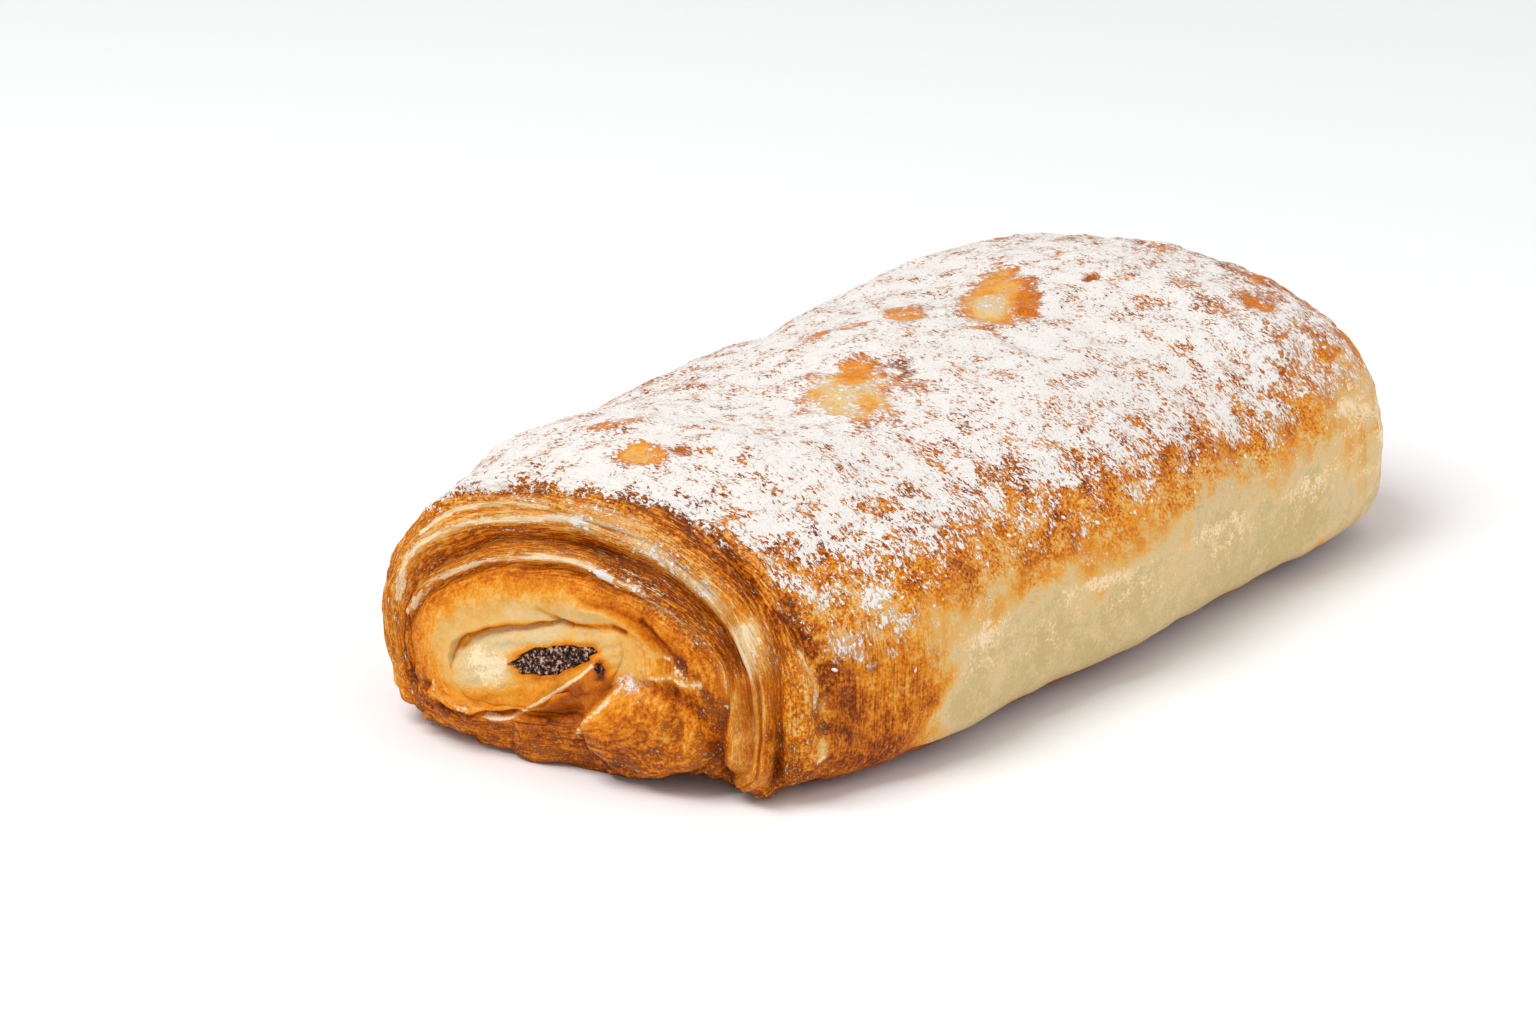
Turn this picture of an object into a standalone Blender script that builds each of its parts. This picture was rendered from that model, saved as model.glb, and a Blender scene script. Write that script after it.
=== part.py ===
"""Rolled sweet cheese pastry, baked and resting on its flat underside.

Three solids: the rolled dough, the cream cheese core that runs through it from end to end, and the dark
filling that runs through the core. +X runs along the roll, from the end with the open spiral (-X) to the
other end, and +Z is up. The origin is on the underside, below the middle of the roll.
"""
import bpy
import numpy as np

mm = 0.001
TURN = 2.0 * np.pi

# ---- driving dimensions -------------------------------------------------------------------------------
LENGTH = 145.5 * mm             # end to end, before the top leans back
WIDTH = 79.9 * mm               # across the puffed far half
HEIGHT = 35.7 * mm              # tray to crest
BELLY = 13.7 * mm               # height at which the roll is widest
SETTLE = 0.4 * mm               # how far the soft underside has settled flat on the tray

NEAR_DEPTH = 9.1 * mm           # how far the near end rounds off along the roll
FAR_DEPTH = 21.1 * mm           # the far end rounds off more gently
END_ROUNDNESS = 2.6             # exponent of both end profiles: 2 is an ellipse, more is flatter
EYE_FLATNESS = 0.35             # where the spiral's eye sits on the end profile, 0 centre to 1 rim

# Shares of the half width and of the height, and sideways drift, at seven even stations along the roll.
WIDTH_SHARES = (0.677, 0.883, 0.956, 1.006, 1.028, 1.022, 1.016)
HEIGHT_SHARES = (0.941, 1.012, 0.953, 1.008, 0.983, 1.035, 0.994)
DRIFT = (-1.16, -0.66, 0.0, -0.26, 0.39, -0.55, -0.09)      # mm

SHOULDER_NEAR = 2.13            # exponents of the cross-section's superellipse
SHOULDER_FAR = 2.04
CREST = 2.38
UNDERSIDE = 4.5

LEAN = 0.147                    # the near end's top leans back by this share of its height
SLANT = -0.085                  # the near end is cut a little askew
SKEW = 0.113                    # the near end's top leans towards +Y
LEAN_REACH = 30.0 * mm          # the lean fades out over this length

# ---- the spiral's eye: cheese core and dark filling ---------------------------------------------------
EYE_CENTRE = (4.9 * mm, 13.3 * mm)          # y, z
CORE_HALF = (12.2 * mm, 4.4 * mm)           # half length and half height of the core's oval
CORE_TILT = np.radians(17.0)                # its right-hand tip is the higher one
DARK_CENTRE = (1.9 * mm, 14.1 * mm)
DARK_HALF = (6.0 * mm, 1.75 * mm)
DARK_TILT = np.radians(19.0)
OVAL = 2.3                                  # exponent of these ovals
GAP = 0.3 * mm                              # clearance between neighbouring pieces
LIP_DEPTH = 2.6 * mm                        # how deep the core sits under the dough's upper lip
CORE_BULGE = 0.5 * mm
DARK_PROUD = 0.35 * mm
DARK_MIDDLE = 0.25              # the dark face's innermost ring, as a share of its oval

# ---- the folds of the rolled dough on the end faces ---------------------------------------------------
# Each fold runs round the eye. Its place is a share of the way from the eye (0) to the rim (1), given at
# eight bearings: -Y side, then up over the top, +Y side, and back under the roll.
NEAR_FOLDS = {
    "inner_lip": (0.63, 0.44, 0.46, 0.43, 0.52, 0.66, 0.80, 0.74),
    "groove": (0.71, 0.61, 0.61, 0.57, 0.68, 0.80, 0.88, 0.82),
    "outer_lip": (0.78, 0.76, 0.79, 0.88, 0.90, 0.92, 0.95, 0.88),
}
FAR_FOLDS = {
    "inner_lip": (0.50, 0.42, 0.40, 0.45, 0.60, 0.72, 0.78, 0.66),
    "groove": (0.64, 0.55, 0.54, 0.60, 0.72, 0.82, 0.86, 0.78),
    "outer_lip": (0.82, 0.80, 0.74, 0.76, 0.82, 0.90, 0.94, 0.88),
}
# Height of the dough over the smooth form, in mm, from the eye (0) past the inner lip (1), the dark
# groove (2) and the outer lip (3) to the rim (4).
FOLD_AT = (0.0, 0.4, 0.78, 0.92, 1.0, 1.25, 1.75, 2.0, 2.4, 2.6, 2.75, 3.0, 3.25, 3.6, 4.0)
FOLD_RISE = (0.3, 1.0, 0.5, -0.4, 1.1, 0.5, -1.1, -1.7, 0.5, 1.0, 0.2, 1.1, -0.3, 0.3, 0.0)
UNDER_SHARE = 0.3               # the folds are this much as high under the roll as above
FOLD_WANDER = 0.013             # how far a fold strays from its line, as a share
CREASE_LIP = 0.45               # the edge beside a crease stands up by this much of its depth
CREASE_TAPER = 0.3              # share of a crease's half length over which it fades out
CALM_RIM = 0.35                 # folds from the eye over which the relief grows
END_REACH = 24.0 * mm           # typical way from the eye to the rim
SIDE_RADIUS = 29.0 * mm         # typical radius of the roll's outline

# Creases that cross the folds: bearing from and to, in degrees, then share of the way from eye to rim at
# the start, the middle and the end, then depth in mm and width as a share.
NEAR_CREASES = (
    (58, -48, 0.97, 0.86, 0.96, 1.3, 0.022),        # the outermost fold, down the -Y corner
    (36, -20, 0.985, 0.985, 1.06, 0.9, 0.020),      # and a shallower one behind it
    (192, 290, 0.33, 0.31, 0.08, 1.5, 0.050),       # under the core, where its layer tucks in
    (75, -60, 0.20, 0.28, 0.60, 0.8, 0.030),        # inside the inner lip, towards the lobe
)
FAR_CREASES = (
    (200, 300, 0.34, 0.30, 0.15, 1.0, 0.045),
    (120, 250, 0.93, 0.90, 0.93, 1.0, 0.025),
    (60, -40, 0.93, 0.90, 0.95, 0.9, 0.025),
)

# Rounded swellings: centre y, z, half width, half height and rise of each, all in mm.
NEAR_LOBES = (
    (-11.0, 7.2, 8.5, 6.0, 2.2),        # the tucked-in tail of the dough, low on the -Y side
    (17.5, 4.6, 6.5, 3.0, 0.5),
    (-24.0, 5.0, 2.6, 4.6, 0.6),        # the outer wrap's hanging edge
    (5.5, 2.2, 2.6, 2.2, 0.7),          # baked lumps that hang at the lower edge
    (-6.6, 1.2, 2.4, 2.2, 0.5),
)
# Where the lower edge curls up instead: y and z, half width, half height, depth, all in mm.
NEAR_HOLLOWS = (
    (-17.5, 0.5, 3.6, 2.8, 1.2),        # between the dough's tail and the wraps
    (20.0, -0.5, 6.5, 2.4, 1.3),
    (-13.0, -0.8, 5.0, 2.4, 1.5),
    (-33.0, 0.5, 5.0, 2.8, 1.4),
)
FAR_LOBES = (
    (12.0, 6.0, 9.0, 5.5, 1.8),
    (-15.0, 5.0, 8.0, 4.5, 1.2),
)
# Bumps and dents of the long sides: x, bearing in degrees, half length, half width, rise, all in mm.
BODY_SWELLS = (
    (-35.0, 132.0, 5.0, 9.0, -0.7),     # notch in the far shoulder
    (9.0, 135.0, 8.0, 11.0, -1.1),      # and the waist behind it
    (-53.0, 86.0, 4.0, 3.5, 0.7),       # blisters on the crest
    (-47.0, 100.0, 3.0, 3.0, 0.6),
    (-17.0, 83.0, 7.5, 6.5, 0.8),
    (12.0, 98.0, 4.5, 3.5, 0.6),
    (24.0, 88.0, 7.0, 5.5, 0.9),
)
MOAT_AT = 1.06                  # a swelling on an end face has a crease round it, at this reach
MOAT_WIDTH = 0.14
MOAT_SHARE = 0.35               # and this share of its rise deep
LUMP_SIZE = 34.0 * mm
LUMP_RISE = 0.45 * mm
CRAG_SIZE = 7.5 * mm
CRAG_RISE = 0.22 * mm
PRESSED = 0.85                  # share of all this that the tray presses out of the underside

# ---- how finely the solids are faceted ----------------------------------------------------------------
AROUND = 88                     # points round each ring of the dough
BODY_RINGS = 21
FAR_RINGS = 15
AROUND_CORE = 56
AROUND_DARK = 36


def smooth(t):
    t = np.clip(t, 0.0, 1.0)
    return t * t * (3.0 - 2.0 * t)


def power(value, exponent):
    """A power that keeps the sign, as a superellipse needs."""
    return np.sign(value) * np.abs(value) ** exponent


def catmull(before, start, end, after, t):
    """The smooth curve from start to end, with its slope set by the values on either side."""
    return 0.5 * (2.0 * start + (end - before) * t
                  + (2.0 * before - 5.0 * start + 4.0 * end - after) * t ** 2
                  + (3.0 * start - before - 3.0 * end + after) * t ** 3)


def along(stations, t):
    """A smooth curve through values at even stations, where t runs from 0 to 1 along the roll."""
    values = np.array([2.0 * stations[0] - stations[1], *stations, 2.0 * stations[-1] - stations[-2]])
    place = np.clip(t, 0.0, 1.0) * (len(stations) - 1)
    first = np.clip(place.astype(int), 0, len(stations) - 2)
    return catmull(values[first], values[first + 1], values[first + 2], values[first + 3], place - first)


def around(bearings, angle):
    """A smooth closed curve through values at even bearings."""
    values = np.array(bearings)
    count = len(values)
    place = (angle / TURN * count) % count
    first = np.floor(place).astype(int)
    return catmull(values[(first - 1) % count], values[first % count], values[(first + 1) % count],
                   values[(first + 2) % count], place - first)


def waves(points, size, seed):
    """Soft seeded unevenness between about -1 and 1, with swells of this size."""
    draw = np.random.default_rng(seed)
    total = np.zeros(points.shape[:-1])
    count = 10
    for _ in range(count):
        direction = draw.normal(size=3)
        direction /= np.linalg.norm(direction)
        rate = TURN / size * draw.uniform(0.6, 1.5)
        total += np.sin(points @ direction * rate + draw.uniform(0.0, TURN))
    return total / count ** 0.5


# ---- the smooth form of the roll ----------------------------------------------------------------------
def section(x, angle):
    """y and z of the roll's outline at x. The bearing runs from -Y over the top and back underneath."""
    share = x / LENGTH + 0.5
    half = 0.5 * WIDTH * along(WIDTH_SHARES, share)
    height = HEIGHT * along(HEIGHT_SHARES, share)
    shoulder = SHOULDER_NEAR + (SHOULDER_FAR - SHOULDER_NEAR) * smooth(share)
    cosine = np.cos(angle)
    sine = np.sin(angle)
    over = sine >= 0.0
    y = -half * power(cosine, np.where(over, 2.0 / shoulder, 2.0 / UNDERSIDE))
    top = BELLY + (height - BELLY) * np.abs(sine) ** (2.0 / CREST)
    under = BELLY * (1.0 - np.abs(sine) ** (2.0 / UNDERSIDE))
    return y + along(DRIFT, share) * mm, np.where(over, top, under)


def oval(centre, half, tilt, angle, grow=0.0):
    """A tilted oval, seen from -X: y and z at each bearing."""
    e = (half[0] + grow) * power(np.cos(angle), 2.0 / OVAL)
    n = (half[1] + grow) * power(np.sin(angle), 2.0 / OVAL)
    y = centre[0] - e * np.cos(tilt) + n * np.sin(tilt)
    z = centre[1] + e * np.sin(tilt) + n * np.cos(tilt)
    return y, z


def rounding(share):
    """How far an end has fallen back, from 0 at its middle to 1 at the rim, where share is 1."""
    reach = EYE_FLATNESS + (1.0 - EYE_FLATNESS) * share
    return 1.0 - np.maximum(1.0 - reach ** END_ROUNDNESS, 0.0) ** (1.0 / END_ROUNDNESS)


def lean(x, y, z):
    """The near end leans back and sideways."""
    fade = smooth((-0.5 * LENGTH + NEAR_DEPTH + LEAN_REACH - x) / LEAN_REACH)
    return x + (LEAN * z + SLANT * y) * fade, y + SKEW * z * fade, z - SETTLE


def fold_share(fold, folds, angle):
    """Share of the way from the eye to the rim, for a place counted in folds: 1 is the inner lip."""
    stops = [np.zeros_like(angle)]
    for name, ripples in (("inner_lip", 7.0), ("groove", 9.0), ("outer_lip", 8.0)):
        wander = FOLD_WANDER * np.sin(ripples * angle + ripples) * np.cos(3.0 * angle)
        stops.append(around(folds[name], angle) + wander)
    stops.append(np.ones_like(angle))
    first = np.clip(fold.astype(int), 0, 3)
    low = np.choose(first, stops[:-1])
    high = np.choose(first, stops[1:])
    return low + (high - low) * (fold - first)


def end_grid(side, folds, angle, fold_rings):
    """Rings of one end face, from the eye outwards. side is -1 for the near end, 1 for the far end."""
    fold, bearing = np.meshgrid(fold_rings, angle, indexing="ij")
    share = fold_share(fold, folds, bearing)
    depth = NEAR_DEPTH if side < 0 else FAR_DEPTH
    rim_x = side * (0.5 * LENGTH - depth)
    rim = lean(rim_x, *section(np.array(rim_x), bearing))
    eye_y, eye_z = oval(EYE_CENTRE, CORE_HALF, CORE_TILT, bearing, GAP)
    y = eye_y + (rim[1] - eye_y) * share
    z = eye_z + (rim[2] - eye_z) * share
    flat = side * (0.5 * LENGTH - depth * rounding(share))
    if side < 0:
        flat = flat + LEAN * (z + SETTLE) + SLANT * (y - SKEW * z)
    return np.stack([flat, y, z], axis=-1), fold, share, bearing


def body_grid(x_rings, angle):
    x, bearing = np.meshgrid(x_rings, angle, indexing="ij")
    y, z = section(x, bearing)
    return np.stack(lean(x, y, z), axis=-1), bearing


def outward(points):
    """Directions out of a grid of rings, from its own slopes."""
    across = np.gradient(points, axis=0)
    round_it = np.roll(points, -1, axis=1) - np.roll(points, 1, axis=1)
    normal = np.cross(across, round_it)
    return normal / np.maximum(np.linalg.norm(normal, axis=-1, keepdims=True), 1e-12)


# ---- relief of the dough ------------------------------------------------------------------------------
def fold_relief(fold, bearing, points):
    """Lips and grooves of the spiral, uneven along their length and low under the roll."""
    rise = np.interp(fold, FOLD_AT, FOLD_RISE) * mm
    above = smooth(0.5 + 0.9 * np.sin(bearing) + 0.5 * np.maximum(np.cos(bearing), 0.0))
    return rise * (UNDER_SHARE + (1.0 - UNDER_SHARE) * above) * (1.0 + 0.25 * waves(points, 22.0 * mm, 6))


def crease_relief(creases, share, bearing):
    """Narrow valleys with a raised edge towards the eye, each tapering to nothing at its two ends."""
    total = np.zeros_like(share)
    for start, end, first, middle, last, depth, width in creases:
        centre = np.radians(0.5 * (start + end))
        half = np.radians(0.5 * (end - start))
        t = ((bearing - centre + np.pi) % TURN - np.pi) / half
        line = middle + 0.5 * (last - first) * t + 0.5 * (first + last - 2.0 * middle) * t ** 2
        taper = smooth((1.0 - np.abs(t)) / CREASE_TAPER)
        beside = (share - line) / width
        valley = np.exp(-beside ** 2) - CREASE_LIP * np.exp(-(beside + 1.8) ** 2)
        total -= depth * mm * taper * valley
    return total


def reach_on_end(points, y, z, half_y, half_z):
    """How far from the middle of an oval patch of an end face, where 1 is its edge. Given in mm."""
    return np.hypot((points[..., 1] / mm - y) / half_y, (points[..., 2] / mm - z) / half_z)


def lobe_relief(lobes, points):
    """Rounded swellings of an end face, with a crease round each."""
    total = np.zeros(points.shape[:-1])
    for y, z, half_y, half_z, rise in lobes:
        reach = reach_on_end(points, y, z, half_y, half_z)
        dome = np.sqrt(np.maximum(1.0 - reach ** 2, 0.0))
        moat = np.exp(-(((reach - MOAT_AT) / MOAT_WIDTH) ** 2))
        total += rise * mm * (dome - MOAT_SHARE * moat)
    return total


def hollow_relief(hollows, points):
    """Soft dents of an end face."""
    total = np.zeros(points.shape[:-1])
    for y, z, half_y, half_z, depth in hollows:
        total -= depth * mm * np.exp(-reach_on_end(points, y, z, half_y, half_z) ** 2)
    return total


def swell_relief(points, bearing):
    """Blisters, notch and waist on the long sides and the crest."""
    total = np.zeros(points.shape[:-1])
    for x, degrees, half_x, half_round, rise in BODY_SWELLS:
        arc = (bearing - np.radians(degrees)) * SIDE_RADIUS
        reach = np.hypot((points[..., 0] - x * mm) / (half_x * mm), arc / (half_round * mm))
        total += rise * mm * np.exp(-reach ** 2)
    return total


def roughness(points):
    """The broad lumps and small crags of a baked roll."""
    return LUMP_RISE * waves(points, LUMP_SIZE, 13) + CRAG_RISE * waves(points, CRAG_SIZE, 31)


def end_relief(points, fold, share, bearing, creases, lobes, hollows=()):
    calm = smooth(fold / CALM_RIM)
    relief = fold_relief(fold, bearing, points)
    relief += crease_relief(creases, share, bearing)
    relief += (lobe_relief(lobes, points) + hollow_relief(hollows, points)) * calm
    return relief + roughness(points) * calm


# ---- meshes -------------------------------------------------------------------------------------------
def principled(name, colour, roughness_value):
    material = bpy.data.materials.new(name)
    material.use_nodes = True
    shader = material.node_tree.nodes["Principled BSDF"]
    shader.inputs["Base Color"].default_value = (*colour, 1.0)
    shader.inputs["Roughness"].default_value = roughness_value
    shader.inputs["Metallic"].default_value = 0.0
    return material


def ring_solid(name, rings, closed, material):
    """A solid from rings of points. closed joins the last ring to the first, as round a tunnel;
    otherwise each end is closed by a fan to its middle."""
    count, width = rings.shape[:2]
    verts = [tuple(point) for point in rings.reshape(-1, 3)]
    faces = []
    for i in range(count if closed else count - 1):
        k = (i + 1) % count
        for j in range(width):
            n = (j + 1) % width
            faces.append((i * width + j, k * width + j, k * width + n, i * width + n))
    if not closed:
        for i, turned in ((0, False), (count - 1, True)):
            middle = len(verts)
            verts.append(tuple(rings[i].mean(axis=0)))
            for j in range(width):
                pair = (i * width + j, i * width + (j + 1) % width)
                faces.append((middle, *(pair[::-1] if turned else pair)))
    mesh = bpy.data.meshes.new(name)
    mesh.from_pydata(verts, [], faces)
    mesh.validate()
    mesh.shade_smooth()
    mesh.materials.append(material)
    piece = bpy.data.objects.new(name, mesh)
    bpy.context.scene.collection.objects.link(piece)
    return piece


def dough_rings(angle):
    """Every ring of the dough, from the near eye over the outside to the far eye."""
    near_fold = np.concatenate([
        [0.0, 0.2, 0.4, 0.6, 0.78, 0.92, 1.0, 1.25, 1.5, 1.75, 2.0, 2.2, 2.4, 2.6, 2.75, 3.0, 3.25],
        4.0 - 0.6 * np.linspace(1.0, 0.0, 7) ** 1.9])
    far_fold = 4.0 - 4.0 * np.linspace(0.0, 1.0, FAR_RINGS) ** 1.25
    near, fold, share, bearing = end_grid(-1, NEAR_FOLDS, angle, near_fold)
    far, far_folds, far_share, far_bearing = end_grid(1, FAR_FOLDS, angle, far_fold)
    x_rings = np.linspace(-0.5 * LENGTH + NEAR_DEPTH, 0.5 * LENGTH - FAR_DEPTH, BODY_RINGS + 2)[1:-1]
    body, body_bearing = body_grid(x_rings, angle)

    base = np.concatenate([near, body, far])
    beyond = 1.0 + (body[..., 0] + 0.5 * LENGTH - NEAR_DEPTH) / END_REACH
    relief = np.concatenate([
        end_relief(near, fold, share, bearing, NEAR_CREASES, NEAR_LOBES, NEAR_HOLLOWS),
        roughness(body) + crease_relief(NEAR_CREASES, beyond, body_bearing),
        end_relief(far, far_folds, far_share, far_bearing, FAR_CREASES, FAR_LOBES)])
    bearings = np.concatenate([bearing, body_bearing, far_bearing])
    relief += swell_relief(base, bearings)
    on_tray = np.concatenate([
        np.zeros_like(share),
        smooth((beyond - 1.0) / 0.2),
        smooth((far_share - 0.85) / 0.15)])
    relief *= 1.0 - PRESSED * on_tray * smooth((-np.sin(bearings) - 0.7) / 0.25)
    rings = base + relief[..., None] * outward(base)
    rings[0, :, 1:] = base[0, :, 1:]
    rings[-1, :, 1:] = base[-1, :, 1:]
    rings[..., 2] = np.maximum(rings[..., 2], 0.0)
    return rings


def face_x(side, y, z):
    """x of the smooth end face at a place inside the eye."""
    x = np.full_like(y, side * (0.5 * LENGTH - (NEAR_DEPTH if side < 0 else FAR_DEPTH) * rounding(0.0)))
    if side < 0:
        x += LEAN * (z + SETTLE) + SLANT * (y - SKEW * z)
    return x


def plug_rings(angle, shape, inner, recess):
    """Rings of a rod with this oval, from its near inner edge round the outside to the far one. The
    face runs in from the rod's edge to the share named by inner; recess gives how deep it lies."""
    rings = []
    for side, shares in ((-1, np.linspace(inner, 1.0, 6)), (1, np.linspace(1.0, inner, 6))):
        for share in shares:
            y, z = shape(angle, share)
            x = face_x(side, y, z) - side * recess(angle, share)
            rings.append(np.stack([x, y, z], axis=-1))
    return np.array(rings)


def core_shape(angle, share):
    """From the dark filling's tunnel (share 0) to the core's own edge (share 1)."""
    outer = oval(EYE_CENTRE, CORE_HALF, CORE_TILT, angle)
    tunnel = oval(DARK_CENTRE, DARK_HALF, DARK_TILT, angle, GAP)
    return tuple(low + (high - low) * share for low, high in zip(tunnel, outer))


def core_recess(angle, share):
    """The core lies deep under the upper lip and comes level with the dough below."""
    under_lip = smooth(0.5 + 1.2 * np.sin(angle))
    return LIP_DEPTH * under_lip * smooth((share - 0.45) / 0.55) - CORE_BULGE * (1.0 - share)


def dark_shape(angle, share):
    return oval(DARK_CENTRE, [half * share for half in DARK_HALF], DARK_TILT, angle)


def dark_recess(angle, share):
    bumps = 0.2 * mm * np.sin(5.0 * angle + 9.0 * share)
    return bumps * share - DARK_PROUD * (1.3 - share)


def build():
    for old in list(bpy.data.objects):
        bpy.data.objects.remove(old, do_unlink=True)
    crust = principled("baked_crust", (0.55, 0.22, 0.045), 0.5)
    cheese = principled("cream_cheese", (0.80, 0.62, 0.36), 0.6)
    dark = principled("dark_filling", (0.035, 0.018, 0.012), 0.55)

    dough = dough_rings(np.linspace(0.0, TURN, AROUND, endpoint=False))
    angle = np.linspace(0.0, TURN, AROUND_CORE, endpoint=False)
    core = plug_rings(angle, core_shape, 0.0, core_recess)
    angle = np.linspace(0.0, TURN, AROUND_DARK, endpoint=False)
    dark_rod = plug_rings(angle, dark_shape, DARK_MIDDLE, dark_recess)

    middle = 0.5 * (dough.min(axis=(0, 1)) + dough.max(axis=(0, 1)))
    middle[2] = 0.0
    ring_solid("pastry", dough - middle, True, crust)
    ring_solid("cheese_filling", core - middle, True, cheese)
    ring_solid("dark_filling", dark_rod - middle, False, dark)
    print("moved by", -middle / mm, "mm to stand over the origin")


build()
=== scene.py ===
# %% [markdown]
# # A sweet cheese roll, dusted with sugar
#
# The roll is one sheet of yeast dough, rolled up round a soft cheese core with a line of dark filling in
# it, baked on its flat side and dusted with powdered sugar. We rebuild its looks around a plain solid
# model, the frame, which already has the right size. Lengths are in metres; `mm` keeps them readable.

# %% The frame and its size
import bpy
import numpy as np
from mathutils import Matrix, Vector


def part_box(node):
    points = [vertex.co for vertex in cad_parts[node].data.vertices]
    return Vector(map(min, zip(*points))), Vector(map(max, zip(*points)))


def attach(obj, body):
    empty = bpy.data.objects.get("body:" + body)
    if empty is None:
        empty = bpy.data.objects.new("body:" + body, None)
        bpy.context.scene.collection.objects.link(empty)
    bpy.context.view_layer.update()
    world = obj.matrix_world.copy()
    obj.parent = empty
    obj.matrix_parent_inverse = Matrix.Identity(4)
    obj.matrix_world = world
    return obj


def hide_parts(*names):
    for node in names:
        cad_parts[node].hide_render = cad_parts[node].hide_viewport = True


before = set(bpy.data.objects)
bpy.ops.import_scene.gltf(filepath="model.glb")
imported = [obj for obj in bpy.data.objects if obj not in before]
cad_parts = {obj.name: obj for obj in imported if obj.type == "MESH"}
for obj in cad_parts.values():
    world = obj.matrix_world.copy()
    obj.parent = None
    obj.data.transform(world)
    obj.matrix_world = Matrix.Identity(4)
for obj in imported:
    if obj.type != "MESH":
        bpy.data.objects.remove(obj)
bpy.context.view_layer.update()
mm = 0.001
TURN = 2.0 * np.pi

# %% [markdown]
# ## The sizes of the roll
#
# The visible dough follows the same rules as the solid one, only with many more points. So this cell holds
# the sizes that a baker could measure: length, width and height, how the ends round off, and where the
# cheese core sits. The frame says where the core lies, and everything is placed from there.

# %% Driving dimensions
LENGTH = 145.5 * mm
WIDTH = 79.9 * mm
HEIGHT = 35.7 * mm
BELLY = 13.7 * mm               # height at which the roll is widest
SETTLE = 0.4 * mm               # how far the soft underside has settled on the tray
NEAR_DEPTH = 9.1 * mm           # how far each end rounds off along the roll
FAR_DEPTH = 21.1 * mm
END_ROUNDNESS = 2.6
EYE_FLATNESS = 0.35

WIDTH_SHARES = (0.677, 0.883, 0.956, 1.006, 1.028, 1.022, 1.016)
HEIGHT_SHARES = (0.941, 1.012, 0.953, 1.008, 0.983, 1.035, 0.994)
DRIFT = (-1.16, -0.66, 0.0, -0.26, 0.39, -0.55, -0.09)
SHOULDER_NEAR, SHOULDER_FAR = 2.13, 2.04
CREST, UNDERSIDE = 2.38, 4.5
LEAN, SLANT, SKEW = 0.147, -0.085, 0.113
LEAN_REACH = 30.0 * mm

EYE_CENTRE = (4.9 * mm, 13.3 * mm)
CORE_HALF = (12.2 * mm, 4.4 * mm)
CORE_TILT = np.radians(17.0)
DARK_CENTRE = (1.9 * mm, 14.1 * mm)
DARK_HALF = (6.0 * mm, 1.75 * mm)
DARK_TILT = np.radians(19.0)
OVAL = 2.3
LIP_DEPTH = 1.7 * mm
CORE_BULGE = 0.5 * mm
DARK_PROUD = 0.35 * mm


def rounding(share):
    """How far an end has fallen back, from 0 at its middle to 1 at the rim, where share is 1."""
    reach = EYE_FLATNESS + (1.0 - EYE_FLATNESS) * share
    return 1.0 - np.maximum(1.0 - reach ** END_ROUNDNESS, 0.0) ** (1.0 / END_ROUNDNESS)


core_low, core_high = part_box("cheese_filling")
far_face = 0.5 * LENGTH - FAR_DEPTH * rounding(0.0) + CORE_BULGE
PLACE = np.array([core_high.x - far_face, 0.5 * (core_low.y + core_high.y) - EYE_CENTRE[0], 0.0])
print("the roll's own middle lies at", (PLACE / mm).round(2), "mm")

# %% [markdown]
# ## Smooth curves through a few values
#
# A roll is uneven but never jagged, so its sizes change along smooth curves through a few values. Three
# helpers do this: along the roll, around it, and across the folds of its end. The last one keeps every
# crest and hollow exactly where it is written, which a spline through the same values wouldn't.

# %% Curve helpers
def smooth(t):
    """An even step: 0 below 0, 1 above 1."""
    t = np.clip(t, 0.0, 1.0)
    return t * t * (3.0 - 2.0 * t)


def bell(distance):
    """1 at the middle, 0.37 at a distance of 1, and soon nothing."""
    return np.exp(-distance ** 2)


def power(value, exponent):
    return np.sign(value) * np.abs(value) ** exponent


def catmull(before, start, end, after, t):
    return 0.5 * (2.0 * start + (end - before) * t
                  + (2.0 * before - 5.0 * start + 4.0 * end - after) * t ** 2
                  + (3.0 * start - before - 3.0 * end + after) * t ** 3)


def along(stations, t):
    """A smooth curve through values at even stations, where t runs from 0 to 1 along the roll."""
    values = np.array([2.0 * stations[0] - stations[1], *stations, 2.0 * stations[-1] - stations[-2]])
    place = np.clip(t, 0.0, 1.0) * (len(stations) - 1)
    first = np.clip(place.astype(int), 0, len(stations) - 2)
    return catmull(values[first], values[first + 1], values[first + 2], values[first + 3], place - first)


def around(bearings, angle):
    """A smooth closed curve through values at even bearings."""
    values = np.array(bearings)
    count = len(values)
    place = (angle / TURN * count) % count
    first = np.floor(place).astype(int)
    return catmull(values[(first - 1) % count], values[first % count], values[(first + 1) % count],
                   values[(first + 2) % count], place - first)


def across(place, stops):
    """Eases from value to value, level at each stop: stops is a list of (place, value)."""
    at = np.array([stop[0] for stop in stops])
    value = np.array([stop[1] for stop in stops])
    first = np.clip(np.searchsorted(at, place, side="right") - 1, 0, len(at) - 2)
    t = np.clip((place - at[first]) / (at[first + 1] - at[first]), 0.0, 1.0)
    eased = 0.5 * (t + t * t * (3.0 - 2.0 * t))
    return value[first] + (value[first + 1] - value[first]) * eased


widest = along(WIDTH_SHARES, np.linspace(0.0, 1.0, 101)).max()
print("the roll is widest at", widest.round(3), "of its stated width")

# %% [markdown]
# ## Unevenness
#
# Baked dough has broad lumps, small crags, and on its cut ends the fine strands of its layers. Random
# numbers with a fixed seed choose the directions of a few sine waves, and their sum is a soft, repeatable
# unevenness. `strands` does the same on the ring's own coordinates, so that its ridges follow the folds.

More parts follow.
